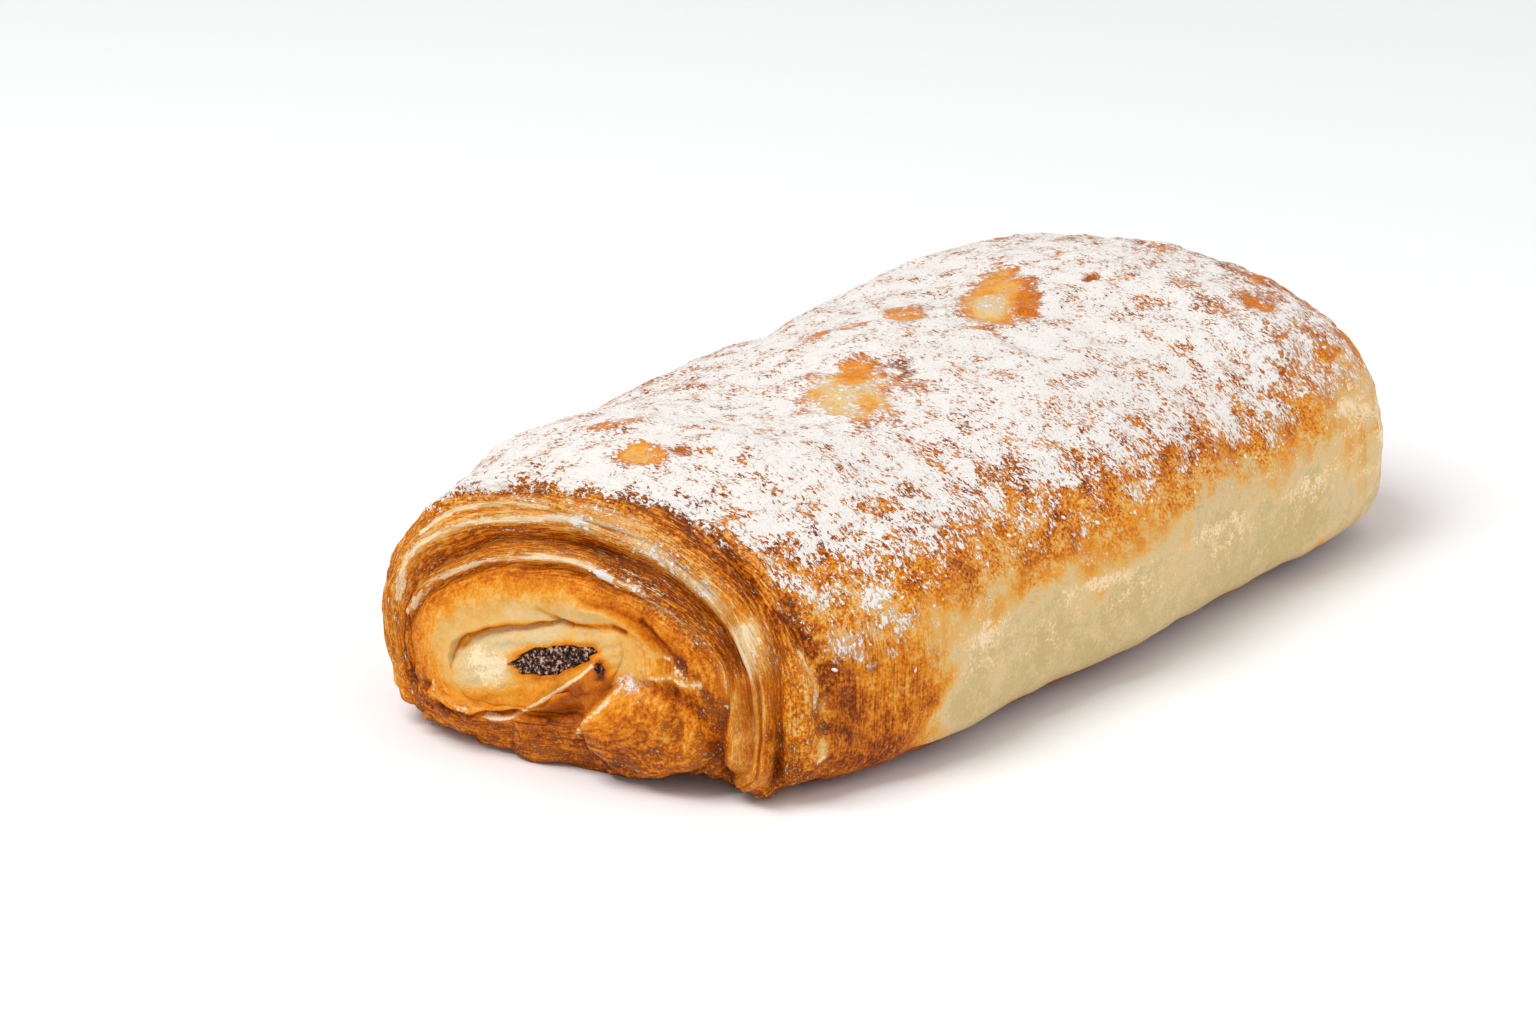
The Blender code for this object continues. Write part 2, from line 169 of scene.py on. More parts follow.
# %% Seeded waves
def waves(points, size, seed, count=10):
    """A sum of sine waves of about this size, mostly between -1.5 and 1.5."""
    draw = np.random.default_rng(seed)
    total = np.zeros(points.shape[:-1])
    for _ in range(count):
        direction = draw.normal(size=3)
        direction /= np.linalg.norm(direction)
        rate = TURN / size * draw.uniform(0.6, 1.5)
        total += np.sin(points @ direction * rate + draw.uniform(0.0, TURN))
    return total / count ** 0.5


def strands(round_way, across_way, long_size, fine_size, seed, count=14):
    """Ridges that run round the roll, long one way and fine the other; sizes in mm."""
    draw = np.random.default_rng(seed)
    total = np.zeros_like(round_way)
    for _ in range(count):
        fine = TURN / fine_size * draw.uniform(0.5, 1.6) * draw.choice((-1.0, 1.0))
        long = TURN / long_size * draw.uniform(0.4, 1.6)
        bend = 0.8 * np.sin(round_way * long * 0.37 + draw.uniform(0.0, TURN))
        total += np.sin(across_way * fine + round_way * long + bend + draw.uniform(0.0, TURN))
    return total / count ** 0.5


sample = waves(np.random.default_rng(0).normal(size=(2000, 3)), 1.0, 1)
print("unevenness stays between", sample.min().round(1), "and", sample.max().round(1))

# %% [markdown]
# ## The smooth form
#
# Cut across, the roll is a flattened superellipse: round over the top, nearly flat underneath. The eye, the
# place on each end where the cheese shows, is a tilted oval, and so is the dark filling in it. One function
# gives the outline at any place along the roll, one gives an oval, and one leans the near end back.

# %% Outline and eye
def section(x, angle):
    """y and z of the roll's outline at x, from -Y over the top and back underneath."""
    share = x / LENGTH + 0.5
    half = 0.5 * WIDTH * along(WIDTH_SHARES, share)
    height = HEIGHT * along(HEIGHT_SHARES, share)
    shoulder = SHOULDER_NEAR + (SHOULDER_FAR - SHOULDER_NEAR) * smooth(share)
    cosine = np.cos(angle)
    sine = np.sin(angle)
    over = sine >= 0.0
    y = -half * power(cosine, np.where(over, 2.0 / shoulder, 2.0 / UNDERSIDE))
    top = BELLY + (height - BELLY) * np.abs(sine) ** (2.0 / CREST)
    under = BELLY * (1.0 - np.abs(sine) ** (2.0 / UNDERSIDE))
    return y + along(DRIFT, share) * mm, np.where(over, top, under)


def oval(centre, half, tilt, angle, grow=0.0, exponent=OVAL):
    """y and z of a tilted oval's outline, made larger all round by `grow`."""
    e = (half[0] + grow) * power(np.cos(angle), 2.0 / exponent)
    n = (half[1] + grow) * power(np.sin(angle), 2.0 / exponent)
    return (centre[0] - e * np.cos(tilt) + n * np.sin(tilt),
            centre[1] + e * np.sin(tilt) + n * np.cos(tilt))


def lean(x, y, z):
    """The near end leans back and sideways."""
    fade = smooth((-0.5 * LENGTH + NEAR_DEPTH + LEAN_REACH - x) / LEAN_REACH)
    return x + (LEAN * z + SLANT * y) * fade, y + SKEW * z * fade, z - SETTLE


side_y, side_z = section(np.zeros(3), np.pi * np.array([0.0, 0.5, 1.0]))
print("halfway along, the roll is", round((side_y[2] - side_y[0]) / mm, 1), "mm wide and",
      round(side_z[1] / mm, 1), "mm high")

# %% [markdown]
# ## The folds of an end
#
# Each end is made of rings that shrink from the rim towards the eye. The rings aren't evenly spread: they
# run exactly along the folds of the dough, so that every fold stays crisp. The tables place the folds as
# shares of the way from eye to rim at eight bearings, and small ripples keep them from looking turned.

# %% Where the folds run
NEAR_FOLDS = {
    "inner_lip": (0.63, 0.44, 0.46, 0.43, 0.52, 0.66, 0.80, 0.74),
    "groove": (0.71, 0.61, 0.61, 0.57, 0.68, 0.80, 0.88, 0.82),
    "outer_lip": (0.78, 0.76, 0.79, 0.88, 0.90, 0.92, 0.95, 0.88),
}
FAR_FOLDS = {
    "inner_lip": (0.50, 0.42, 0.40, 0.45, 0.60, 0.72, 0.78, 0.66),
    "groove": (0.64, 0.55, 0.54, 0.60, 0.72, 0.82, 0.86, 0.78),
    "outer_lip": (0.82, 0.80, 0.74, 0.76, 0.82, 0.90, 0.94, 0.88),
}
FOLD_RIPPLES = {"inner_lip": 7.0, "groove": 9.0, "outer_lip": 8.0}      # how many ripples each fold has
FOLD_WANDER = 0.013             # how far they move it, as a share of the way from eye to rim


def fold_share(fold, folds, angle):
    """Share of the way from the eye to the rim, for a place counted in folds: 1 is the inner lip."""
    stops = [np.zeros_like(angle)]
    for name, ripples in FOLD_RIPPLES.items():
        wander = FOLD_WANDER * np.sin(ripples * angle + ripples) * np.cos(3.0 * angle)
        stops.append(around(folds[name], angle) + wander)
    stops.append(np.ones_like(angle))
    first = np.clip(fold.astype(int), 0, 3)
    low = np.choose(first, stops[:-1])
    high = np.choose(first, stops[1:])
    return low + (high - low) * (fold - first)


print("folds from the eye to the rim:", ", ".join(NEAR_FOLDS))

# %% The rings of one end
EYE_RAGGED = 0.12 * mm
EYE_RIPPLES = ((1.0, 5.0, 1.0), (0.8, 11.0, 0.0), (0.6, 23.0, 0.0))     # height, how many, where they start
EYE_GROW = (0.0, 0.0, 0.1, 0.9, -0.5, 0.0, 0.0, 0.0)    # mm by which the near eye grows, at eight bearings


def rippled(angle, ripples, base=0.0):
    """Sine ripples round an outline, on top of a base."""
    return sum((height * np.sin(count * angle + start) for height, count, start in ripples), base)


def face_x(side, y, z, share):
    """x of the smooth end face at a place on it."""
    depth = NEAR_DEPTH if side < 0 else FAR_DEPTH
    x = side * (0.5 * LENGTH - depth * rounding(share)) + np.zeros_like(y)
    if side < 0:
        x = x + LEAN * (z + SETTLE) + SLANT * (y - SKEW * z)
    return x


def end_grid(side, folds, angle, fold_rings):
    """Rings of one end, from the eye outwards. side is -1 for the near end, 1 for the far end."""
    fold, bearing = np.meshgrid(fold_rings, angle, indexing="ij")
    share = fold_share(fold, folds, bearing)
    rim_x = side * (0.5 * LENGTH - (NEAR_DEPTH if side < 0 else FAR_DEPTH))
    rim = lean(rim_x, *section(np.array(rim_x), bearing))
    grow = EYE_RAGGED * rippled(bearing, EYE_RIPPLES)
    if side < 0:
        grow += around(EYE_GROW, bearing) * mm
    eye_y, eye_z = oval(EYE_CENTRE, CORE_HALF, CORE_TILT, bearing, grow)
    y = eye_y + (rim[1] - eye_y) * share
    z = eye_z + (rim[2] - eye_z) * share
    return np.stack([face_x(side, y, z, share), y, z], axis=-1), fold, share, bearing


print("the eye is", round(2.0 * CORE_HALF[0] / mm, 1), "by", round(2.0 * CORE_HALF[1] / mm, 1), "mm")

# %% [markdown]
# ## Rings of the whole crust
#
# The dough's skin is one grid: rings from the near eye out to the rim, along the body, and back in to the
# far eye. Each point keeps what we need later: how many folds out it lies, its bearing, and its way round
# and across the folds in millimetres. The grid's seam is underneath, where nobody looks.

# %% The crust's grid
AROUND = 350
NEAR_RINGS = ((0.0, 1.0, 34), (1.0, 2.0, 20), (2.0, 3.0, 22))           # from fold, to fold, rings
RIM_RINGS = 34
BODY_RINGS = 116
FAR_RINGS = 48

angle = TURN * 0.75 + np.linspace(0.0, TURN, AROUND, endpoint=False)
near_parts = [np.linspace(low, high, count, endpoint=False) for low, high, count in NEAR_RINGS]
near_fold = np.concatenate(near_parts + [4.0 - (1.0 - np.linspace(0.0, 1.0, RIM_RINGS)) ** 1.7])
far_fold = 4.0 - 4.0 * np.linspace(0.0, 1.0, FAR_RINGS) ** 1.25
body_x = np.linspace(-0.5 * LENGTH + NEAR_DEPTH, 0.5 * LENGTH - FAR_DEPTH, BODY_RINGS + 2)[1:-1]

near, near_folds, near_share, near_bearing = end_grid(-1, NEAR_FOLDS, angle, near_fold)
far, far_folds, far_share, far_bearing = end_grid(1, FAR_FOLDS, angle, far_fold)
x_grid, body_bearing = np.meshgrid(body_x, angle, indexing="ij")
body = np.stack(lean(x_grid, *section(x_grid, body_bearing)), axis=-1)
grid = np.concatenate([near, body, far])
print("crust grid:", grid.shape[0], "rings of", AROUND, "points")

# %% What every point knows
END_REACH = 24.0 * mm           # along the body, `share` goes on growing by 1 in this length
FOLD_LENGTH = 6.0               # mm of skin that one fold takes up on an end

bearing = np.concatenate([near_bearing, body_bearing, far_bearing]) % TURN
fold = np.concatenate([near_folds, np.full_like(x_grid, 4.0), far_folds])
beyond = 1.0 + (body[..., 0] + 0.5 * LENGTH - NEAR_DEPTH) / END_REACH
share = np.concatenate([near_share, beyond, far_share])
is_near = np.concatenate([np.ones_like(near_share), np.zeros_like(beyond), np.zeros_like(far_share)])
is_far = np.concatenate([np.zeros_like(near_share), np.zeros_like(beyond), np.ones_like(far_share)])
on_end = is_near + is_far
is_body = 1.0 - is_near - is_far
x_mm, y_mm, height_mm = (grid[..., axis] / mm for axis in range(3))

steps_round = np.linalg.norm(np.roll(grid, -1, axis=1) - grid, axis=-1) / mm
round_turn = steps_round.sum(axis=1, keepdims=True)
round_way = np.linspace(0.0, 1.0, AROUND, endpoint=False)[None, :] * round_turn
length_way = np.cumsum(np.linalg.norm(np.diff(body, axis=0, prepend=body[:1]), axis=-1), axis=0) / mm
fold_way = np.concatenate([near_folds * FOLD_LENGTH, 4.0 * FOLD_LENGTH + length_way,
                           4.0 * FOLD_LENGTH + length_way.max() + (4.0 - far_folds) * FOLD_LENGTH])
print("once round the belly is", round(round_turn.max()), "mm")

# %% [markdown]
# ## Relief of the folds
#
# Seen on the cut end, each turn of dough is a lip with a shadowed groove under it. The table gives the
# height of the dough from the eye to the rim. Creases and swellings come on top: the line where the core's
# layer tucks in, the tail of the dough pressed into a lobe low on the right, and the outermost fold that
# runs down the corner. Underneath, where the roll was pressed on the tray, everything is flatter.

# %% Creases
NEAR_CREASES = (        # bearing at its two ends, share at its start, middle and end, depth, width
    (58, -48, 0.97, 0.86, 0.96, 1.3, 0.022),
    (36, -20, 0.985, 0.985, 1.06, 0.9, 0.020),
    (192, 290, 0.33, 0.31, 0.08, 1.5, 0.050),
    (75, -60, 0.20, 0.28, 0.60, 0.8, 0.030),
)
FAR_CREASES = (
    (200, 300, 0.34, 0.30, 0.15, 1.0, 0.045),
    (120, 250, 0.93, 0.90, 0.93, 1.0, 0.025),
    (60, -40, 0.93, 0.90, 0.95, 0.9, 0.025),
)
CREASE_TAPER = 0.3


def crease_masks(creases):
    """Depth in mm of the creases' valleys, and of the raised edge beside each, at every point."""
    valley = np.zeros_like(share)
    edge = np.zeros_like(share)
    for start, end, first, middle, last, depth, width in creases:
        centre = np.radians(0.5 * (start + end))
        half = np.radians(0.5 * (end - start))
        t = ((bearing - centre + np.pi) % TURN - np.pi) / half
        line = middle + 0.5 * (last - first) * t + 0.5 * (first + last - 2.0 * middle) * t ** 2
        taper = smooth((1.0 - np.abs(t)) / CREASE_TAPER)
        beside = (share - line) / width
        valley += depth * taper * bell(beside)
        edge += depth * taper * bell(beside + 1.8)
    return valley, edge


near_valley, near_edge = crease_masks(NEAR_CREASES)
far_valley, far_edge = crease_masks(FAR_CREASES)
valley = near_valley * (1.0 - is_far) + far_valley * is_far
edge = near_edge * (1.0 - is_far) + far_edge * is_far
print("deepest crease:", valley.max().round(2), "mm")

# %% Lobes and hollows
NEAR_LOBES = (          # y, z, half width, half height and height of the dome, in mm
    (-11.0, 7.2, 8.5, 6.0, 2.2),
    (17.5, 4.6, 6.5, 3.0, 0.5),
    (-24.0, 5.0, 2.6, 4.6, 0.6),
    (5.5, 2.2, 2.6, 2.2, 0.7),
    (-6.6, 1.2, 2.4, 2.2, 0.5),
)
NEAR_HOLLOWS = (        # the same, with the depth last
    (-17.5, 0.5, 3.6, 2.8, 1.2),
    (20.0, -0.5, 6.5, 2.4, 1.3),
    (-13.0, -0.8, 5.0, 2.4, 1.5),
    (-33.0, 0.5, 5.0, 2.8, 1.4),
)
FAR_LOBES = ((12.0, 6.0, 9.0, 5.5, 1.8), (-15.0, 5.0, 8.0, 4.5, 1.2))
MOAT_AT, MOAT_WIDTH = 1.06, 0.14        # the furrow round a lobe, in shares of the lobe's half size


def reach_on_end(y, z, half_y, half_z):
    """0 at a place on an end face, 1 at this distance from it."""
    return np.hypot((grid[..., 1] - y * mm) / (half_y * mm), (grid[..., 2] - z * mm) / (half_z * mm))


def lobe_masks(lobes):
    """Height in mm of the lobes' domes, and of the furrows round them."""
    dome = np.zeros_like(share)
    moat = np.zeros_like(share)
    for *oval_spot, height in lobes:
        reach = reach_on_end(*oval_spot)
        dome += height * np.sqrt(np.maximum(1.0 - reach ** 2, 0.0))
        moat += height * bell((reach - MOAT_AT) / MOAT_WIDTH)
    return dome, moat


near_dome, near_moat = lobe_masks(NEAR_LOBES)
far_dome, far_moat = lobe_masks(FAR_LOBES)
dome = near_dome * is_near + far_dome * is_far
moat = near_moat * is_near + far_moat * is_far
hollow = is_near * sum(depth * bell(reach_on_end(*spot)) for *spot, depth in NEAR_HOLLOWS)
print("highest lobe:", dome.max().round(2), "mm")

# %% The folds' own relief
FOLD_RISE = (           # fold, rise in mm
    (0.0, 0.3), (0.4, 1.0), (0.78, 0.5), (0.92, -0.4), (1.0, 1.1), (1.25, 0.5), (1.75, -1.1), (2.0, -1.7),
    (2.4, 0.5), (2.6, 1.0), (2.75, 0.2), (3.0, 1.1), (3.25, -0.3), (3.6, 0.3), (4.0, 0.0),
)
UNDER_SHARE = 0.3               # share of the folds' relief that is left underneath
CREASE_LIP, MOAT_SHARE = 0.45, 0.35

calm = smooth(fold / 0.35)                      # 0 at the eye, so that the core still fits
above = smooth(0.5 + 0.9 * np.sin(bearing) + 0.5 * np.maximum(np.cos(bearing), 0.0))
rise = across(fold, FOLD_RISE) * on_end
rise *= (UNDER_SHARE + (1.0 - UNDER_SHARE) * above) * (1.0 + 0.25 * waves(grid, 22.0 * mm, 6))
rise += CREASE_LIP * edge - valley + (dome - MOAT_SHARE * moat - hollow) * calm
print("fold relief from", rise.min().round(2), "to", rise.max().round(2), "mm")

# %% [markdown]
# ## Strokes on the open end
#
# Some lines of the open end don't keep to one fold: a torn flap, the groove that widens down the right
# side, the ridge that crosses the cheese. Each is a stroke through a few places, given as y and z in mm.
# Round the corner, where the skin turns along the roll, the places are x, y and z. The same strokes shape
# the dough here and colour it further below.

# %% How a stroke is drawn
def stroke(points, half_mm, path):
    """1 along a line through places given as y and z, or as x, y and z, fading to 0 beside it."""
    at = points[..., 3 - len(path[0]):] / mm
    nearest = np.full(points.shape[:-1], np.inf)
    for start, end in zip(path, path[1:]):
        run = np.subtract(end, start)
        t = np.clip((at - start) @ run / (run @ run), 0.0, 1.0)
        nearest = np.minimum(nearest, np.linalg.norm(at - start - t[..., None] * run, axis=-1))
    return bell(nearest / half_mm)


def drawn(points, half_mm, path):
    """The stroke on the whole skin, where one of y and z alone stays on the open end."""
    mask = np.zeros(points.shape[:-1])
    rows = slice(0, len(near) if len(path[0]) == 2 else len(near) + len(body) // 2)
    mask[rows] = stroke(points[rows], half_mm, path)
    return mask


def path_length(path):
    """Length in mm of the line through these places."""
    return round(float(np.linalg.norm(np.diff(path, axis=0), axis=1).sum()), 1)


print("a stroke has faded to", round(float(bell(1.0)), 2), "at its half width")

# %% Ridges and grooves, from the rim inwards
# A turn's lip is a ridge, and the shadow under the next lip is a groove.
GROOVE_RIM = ((-3.4, 33.8), (-5.8, 33.4), (-8.2, 32.7), (-12.4, 30.8), (-16.6, 28.6), (-20.2, 26.1),
              (-22.0, 23.6), (-23.6, 21.2), (-24.6, 19.2))
RIDGE_OUTER = ((23.4, 25.2), (20.3, 27.9), (17.5, 28.9), (14.5, 29.9), (11.9, 30.7), (8.5, 30.9),
               (5.5, 31.2))
RIDGE_SECOND = ((26.8, 16.0), (26.0, 19.8), (25.3, 21.6), (23.5, 23.5), (21.2, 25.2), (16.4, 27.6),
                (10.7, 29.0), (4.8, 30.3), (-0.5, 31.0))
RIDGE_SECOND_RIGHT = ((1.0, 31.0), (-4.6, 30.5), (-7.7, 29.3), (-11.0, 27.7), (-16.5, 25.4),
                      (-19.6, 23.4), (-22.3, 21.6), (-23.8, 19.0), (-24.5, 14.7), (-24.7, 11.0))
GROOVE_TOP = ((23.0, 18.6), (20.3, 22.1), (18.2, 24.7), (12.5, 27.0), (6.0, 28.2), (1.9, 28.0))
GROOVE_CORNER = ((-25.1, 17.5), (-25.8, 14.0), (-26.2, 10.5), (-26.7, 7.7), (-27.2, 3.3))
RIDGE_INNER = ((23.4, 15.7), (21.6, 18.2), (19.7, 20.4), (17.3, 21.8), (14.5, 23.1), (11.0, 24.5),
               (8.1, 25.2), (4.9, 26.0), (0.6, 26.3), (-2.1, 26.0), (-5.2, 25.1))
RIDGE_INNER_RIGHT = ((-4.0, 25.4), (-8.2, 24.2), (-10.1, 22.9), (-12.7, 22.0), (-15.3, 20.3),
                     (-17.8, 19.1), (-19.7, 17.0), (-20.6, 14.0))
GROOVE_WRAP = ((4.0, 28.0), (-1.0, 27.4), (-4.7, 26.6), (-8.6, 25.2), (-12.1, 24.0), (-15.0, 22.6),
               (-18.1, 20.4), (-20.6, 17.9), (-21.7, 15.5), (-21.2, 11.8), (-20.3, 8.9), (-20.1, 6.4),
               (-20.7, 3.2), (-21.0, 0.8))
GROOVE_LEFT = ((23.7, 15.2), (24.3, 12.7), (23.7, 9.3), (22.0, 6.4), (19.2, 4.6))
TOP_DUST = ((24.0, 27.5), (19.0, 30.6), (12.0, 32.3), (4.0, 32.8))
print("the groove down the right side is", path_length(GROOVE_WRAP), "mm long")

# %% Round the cheese and the lobe
# The mouth is the dark gap above the cheese, and the tail is the ridge that crosses the cheese.
RIDGE_TAIL = ((18.9, 8.6), (17.7, 7.4), (16.4, 6.6), (14.8, 6.2), (12.7, 5.8), (11.0, 5.4), (8.4, 5.5),
              (7.0, 6.1), (4.4, 7.7), (2.9, 8.8), (1.5, 9.9), (-0.6, 11.6), (-2.7, 13.2), (-4.0, 14.6),
              (-4.8, 15.6))
UNDER_TAIL = ((17.5, 5.0), (13.0, 4.2), (8.7, 3.8), (6.0, 4.9), (3.0, 7.1), (0.0, 9.4), (-2.4, 11.4))
RIDGE_LOBE = ((-1.7, 5.6), (-3.5, 7.4), (-5.5, 9.5), (-6.9, 11.3), (-8.5, 12.9), (-9.8, 13.9),
              (-13.5, 14.9), (-17.5, 14.4))
BESIDE_LOBE = ((-0.6, 5.2), (-2.6, 7.9), (-4.6, 10.2), (-6.2, 12.2))
LOBE_LEFT = ((-1.0, 5.7), (-0.9, 3.2), (-1.8, 0.8))
LOBE_DUST = ((-8.0, 13.4), (-11.5, 12.6))
GROOVE_INSIDE = ((-9.5, 20.6), (-12.4, 18.6), (-15.4, 16.6), (-17.5, 14.9), (-19.2, 12.6), (-20.0, 10.1))
RIDGE_MOUTH = ((-4.5, 21.2), (-5.9, 20.7), (-7.9, 20.0), (-9.8, 19.1), (-11.5, 18.0), (-13.2, 16.9),
               (-15.6, 15.7))
MOUTH_TIP = ((0.7, 18.7), (-2.0, 18.9), (-4.2, 19.2), (-6.2, 19.6), (-7.9, 19.3))
FLAP = ((4.1, 19.8), (2.2, 19.1), (-0.2, 18.6))
CREVICE = ((15.2, 12.9), (14.5, 14.1), (13.2, 15.1), (11.1, 16.1), (8.3, 17.1), (5.0, 17.8), (3.0, 18.2))
DARK_BIT = ((-4.9, 14.7), (-5.4, 13.6))
WHITE = ((12.4, 12.4), (10.6, 12.0), (9.4, 11.8))
WHITE_LOW = ((12.0, 10.6), (9.6, 10.2))
print("the ridge that crosses the cheese is", path_length(RIDGE_TAIL), "mm long")

# %% Round the right corner
# The dabs are spots of sugar, and the cream patches lie where the next roll in the tray tore away.
COLUMN = ((-22.4, 15.0), (-22.9, 12.0), (-23.3, 8.5), (-23.3, 5.0))
COLUMN_PALE = ((-21.9, 21.4), (-22.9, 19.2), (-23.3, 17.0))
BAND = ((-62.2, -25.3, 22.9), (-60.9, -26.4, 21.0), (-59.9, -27.6, 19.2), (-59.1, -28.8, 16.9),
        (-58.1, -29.3, 14.5), (-57.7, -30.2, 12.8), (-56.6, -31.1, 11.1))
BAND_BELOW = ((-57.2, -29.8, 16.0), (-56.6, -30.6, 13.6), (-56.0, -31.4, 11.0))
BAND_PALE = ((-61.5, -27.7, 18.6), (-60.6, -28.5, 15.6), (-60.1, -28.8, 14.0), (-58.9, -29.7, 10.6))
CREAM_SPOT = ((-60.4, -30.3, 7.6), (-61.0, -30.5, 6.2))
LOW_LINE = ((-58.3, -30.6, 8.8), (-56.0, -31.9, 7.3), (-53.9, -32.7, 5.7))
LOW_BAND = ((-64.2, -28.2, 4.6), (-59.0, -30.2, 4.4), (-52.7, -33.1, 4.2))
DABS = (((-60.2, -27.3, 20.2), (-59.5, -28.1, 18.6)), ((-58.6, -28.4, 18.2), (-57.7, -29.5, 16.1)),
        ((-56.9, -28.7, 19.5), (-56.1, -29.8, 18.0)), ((-54.5, -30.5, 18.1), (-53.0, -32.0, 15.2)),
        ((-53.8, -26.5, 24.3), (-53.2, -27.1, 23.9)), ((-61.4, -24.4, 24.4), (-60.6, -25.2, 23.4)))
CREAM_PATCHES = (((-52.1, -29.4, 22.4), (-50.6, -30.6, 21.6)),
                 ((-49.5, -30.7, 22.4), (-48.7, -33.0, 19.5)),
                 ((-43.9, -34.1, 21.4), (-44.4, -35.9, 16.9)),
                 ((-35.9, -36.0, 19.3), (-40.5, -36.9, 15.8)),
                 ((-34.0, -36.0, 19.9), (-30.8, -36.3, 19.2)))
print("the dark band on the corner is", path_length(BAND), "mm long")

# %% What the strokes raise and press in
STROKE_RISE = (         # rise in mm, half width in mm, stroke
    (0.30, 0.35, RIDGE_TAIL), (0.25, 0.40, RIDGE_TAIL[3:9]), (0.25, 0.50, RIDGE_LOBE),
    (-0.60, 0.50, GROOVE_WRAP), (-0.50, 0.50, GROOVE_WRAP[9:]), (-0.45, 0.40, GROOVE_INSIDE),
    (-0.60, 0.40, GROOVE_CORNER), (-0.40, 0.22, FLAP), (-0.55, 0.42, FLAP[1:]), (-0.35, 0.25, MOUTH_TIP),
    (-0.30, 0.35, BESIDE_LOBE), (-0.30, 0.40, LOBE_LEFT), (-0.40, 0.40, GROOVE_LEFT),
    (-0.30, 0.40, DARK_BIT), (-0.55, 0.70, BAND), (-0.35, 0.80, GROOVE_RIM), (0.35, 0.60, BAND_PALE),
    (-0.35, 0.50, LOW_LINE), (0.25, 0.40, RIDGE_MOUTH), (0.35, 1.40, COLUMN),
)
for height, half_mm, path in STROKE_RISE:
    rise += height * drawn(grid, half_mm, path)
print(len(STROKE_RISE), "strokes, relief now from", rise.min().round(2), "to", rise.max().round(2), "mm")

# %% [markdown]
# ## Bumps, strands and crags
#
# The long sides have a notch and a waist behind it, and the crest has low swellings where the dough puffed
# up. On the cut end and round the corner the layers of the dough show as fine strands, which run along the
# folds. The pale wall has soft long dents from the next roll on the tray, and its foot is nearly straight.

# %% Swellings, and what the tray pressed flat
BODY_SWELLS = (         # x in mm, bearing in degrees, half length and half width in mm, rise in mm
    (-35.0, 132.0, 5.0, 9.0, -0.7), (9.0, 135.0, 8.0, 11.0, -1.1), (-53.0, 86.0, 4.0, 3.5, 0.7),
    (-47.0, 100.0, 3.0, 3.0, 0.6), (-17.0, 83.0, 7.5, 6.5, 0.8), (12.0, 98.0, 4.5, 3.5, 0.6),
    (24.0, 88.0, 7.0, 5.5, 0.9),
)
SIDE_RADIUS = 29.0 * mm
LUMP_SIZE, LUMP_RISE, LUMP_SEED = 34.0 * mm, 0.45, 13
CRAG_SIZE, CRAG_RISE, CRAG_SEED = 7.5 * mm, 0.22, 31
PRESSED = 0.85                  # share of the relief that the tray presses out of the underside
FOOT_PRESSED = 0.85             # share that is missing along the foot of the long sides


def swells(points, bearings):
    """Height in mm of the swellings of the body."""
    total = np.zeros_like(bearings)
    for x, degrees, half_x, half_round, height in BODY_SWELLS:
        arc = ((bearings - np.radians(degrees) + np.pi) % TURN - np.pi) * SIDE_RADIUS
        reach = np.hypot((points[..., 0] - x * mm) / (half_x * mm), arc / (half_round * mm))
        total += height * bell(reach)
    return total


corner = smooth((-36.0 - x_mm) / 16.0)          # 1 near the open end, 0 along the body
on_tray = is_body * smooth((share - 1.0) / 0.2) + is_far * smooth((share - 0.85) / 0.15)
lumps = LUMP_RISE * waves(grid, LUMP_SIZE, LUMP_SEED)
rise += (lumps + CRAG_RISE * waves(grid, CRAG_SIZE, CRAG_SEED)) * calm
rise += swells(grid, bearing)
rise *= 1.0 - PRESSED * on_tray * smooth((-np.sin(bearing) - 0.7) / 0.25)
rise *= 1.0 - FOOT_PRESSED * is_body * (1.0 - corner) * smooth((6.0 - height_mm) / 5.0)
print("relief with its swellings from", rise.min().round(2), "to", rise.max().round(2), "mm")

# %% Strands and crags
low_end = smooth(0.5 - 1.6 * np.sin(bearing - np.radians(8.0)))         # 1 on the lower half of an end
strandy = np.clip(corner * smooth((34.0 - height_mm) / 8.0) + is_near + 0.5 * is_far, 0.0, 1.0)
strandy = strandy * np.maximum(smooth((fold - 0.5) / 0.6), low_end * smooth((fold - 0.1) / 0.2))
strandy *= (1.0 - 0.55 * is_body * smooth((x_mm + 66.0) / 8.0)) * (1.0 - 0.5 * low_end * is_near)
low_wall = is_body * smooth((20.0 - height_mm) / 8.0) * smooth((height_mm - 1.0) / 4.0) * (1.0 - corner)
bottom_rim = bell((height_mm - 1.0) / 2.2) * (on_end + corner)

STRANDS = ((0.10, 14.0, 1.3, 21), (0.09, 8.0, 0.6, 22))                 # rise, length, width in mm, seed
ROUGHNESS = (           # rise and size in mm, how it is stretched, seed, where
    (0.22, 3.2, (1.0, 1.0, 0.6), 26, is_near * low_end * smooth((fold - 0.1) / 0.3)),
    (0.16, 7.0, (0.28, 1.0, 1.0), 23, low_wall),
    (0.06, 2.6, (1.0, 1.0, 1.0), 24, on_end * calm),
    (0.20, 3.4, (1.0, 1.0, 1.0), 25, bottom_rim),
)
for height, long_mm, fine_mm, seed in STRANDS:
    rise += height * strandy * (1.0 - 0.3 * is_body) * strands(round_way, fold_way, long_mm, fine_mm, seed)
for height, size_mm, stretch, seed, where in ROUGHNESS:
    rise += height * where * waves(grid * np.array(stretch), size_mm * mm, seed)
print("all relief from", rise.min().round(2), "to", rise.max().round(2), "mm")


# %% The finished skin
def outward(points):
    """Directions out of a closed grid of rings, from its own slopes."""
    lengthwise = np.gradient(points, axis=0)
    crosswise = np.roll(points, -1, axis=1) - np.roll(points, 1, axis=1)
    normal = np.cross(lengthwise, crosswise)
    return normal / np.maximum(np.linalg.norm(normal, axis=-1, keepdims=True), 1e-12)


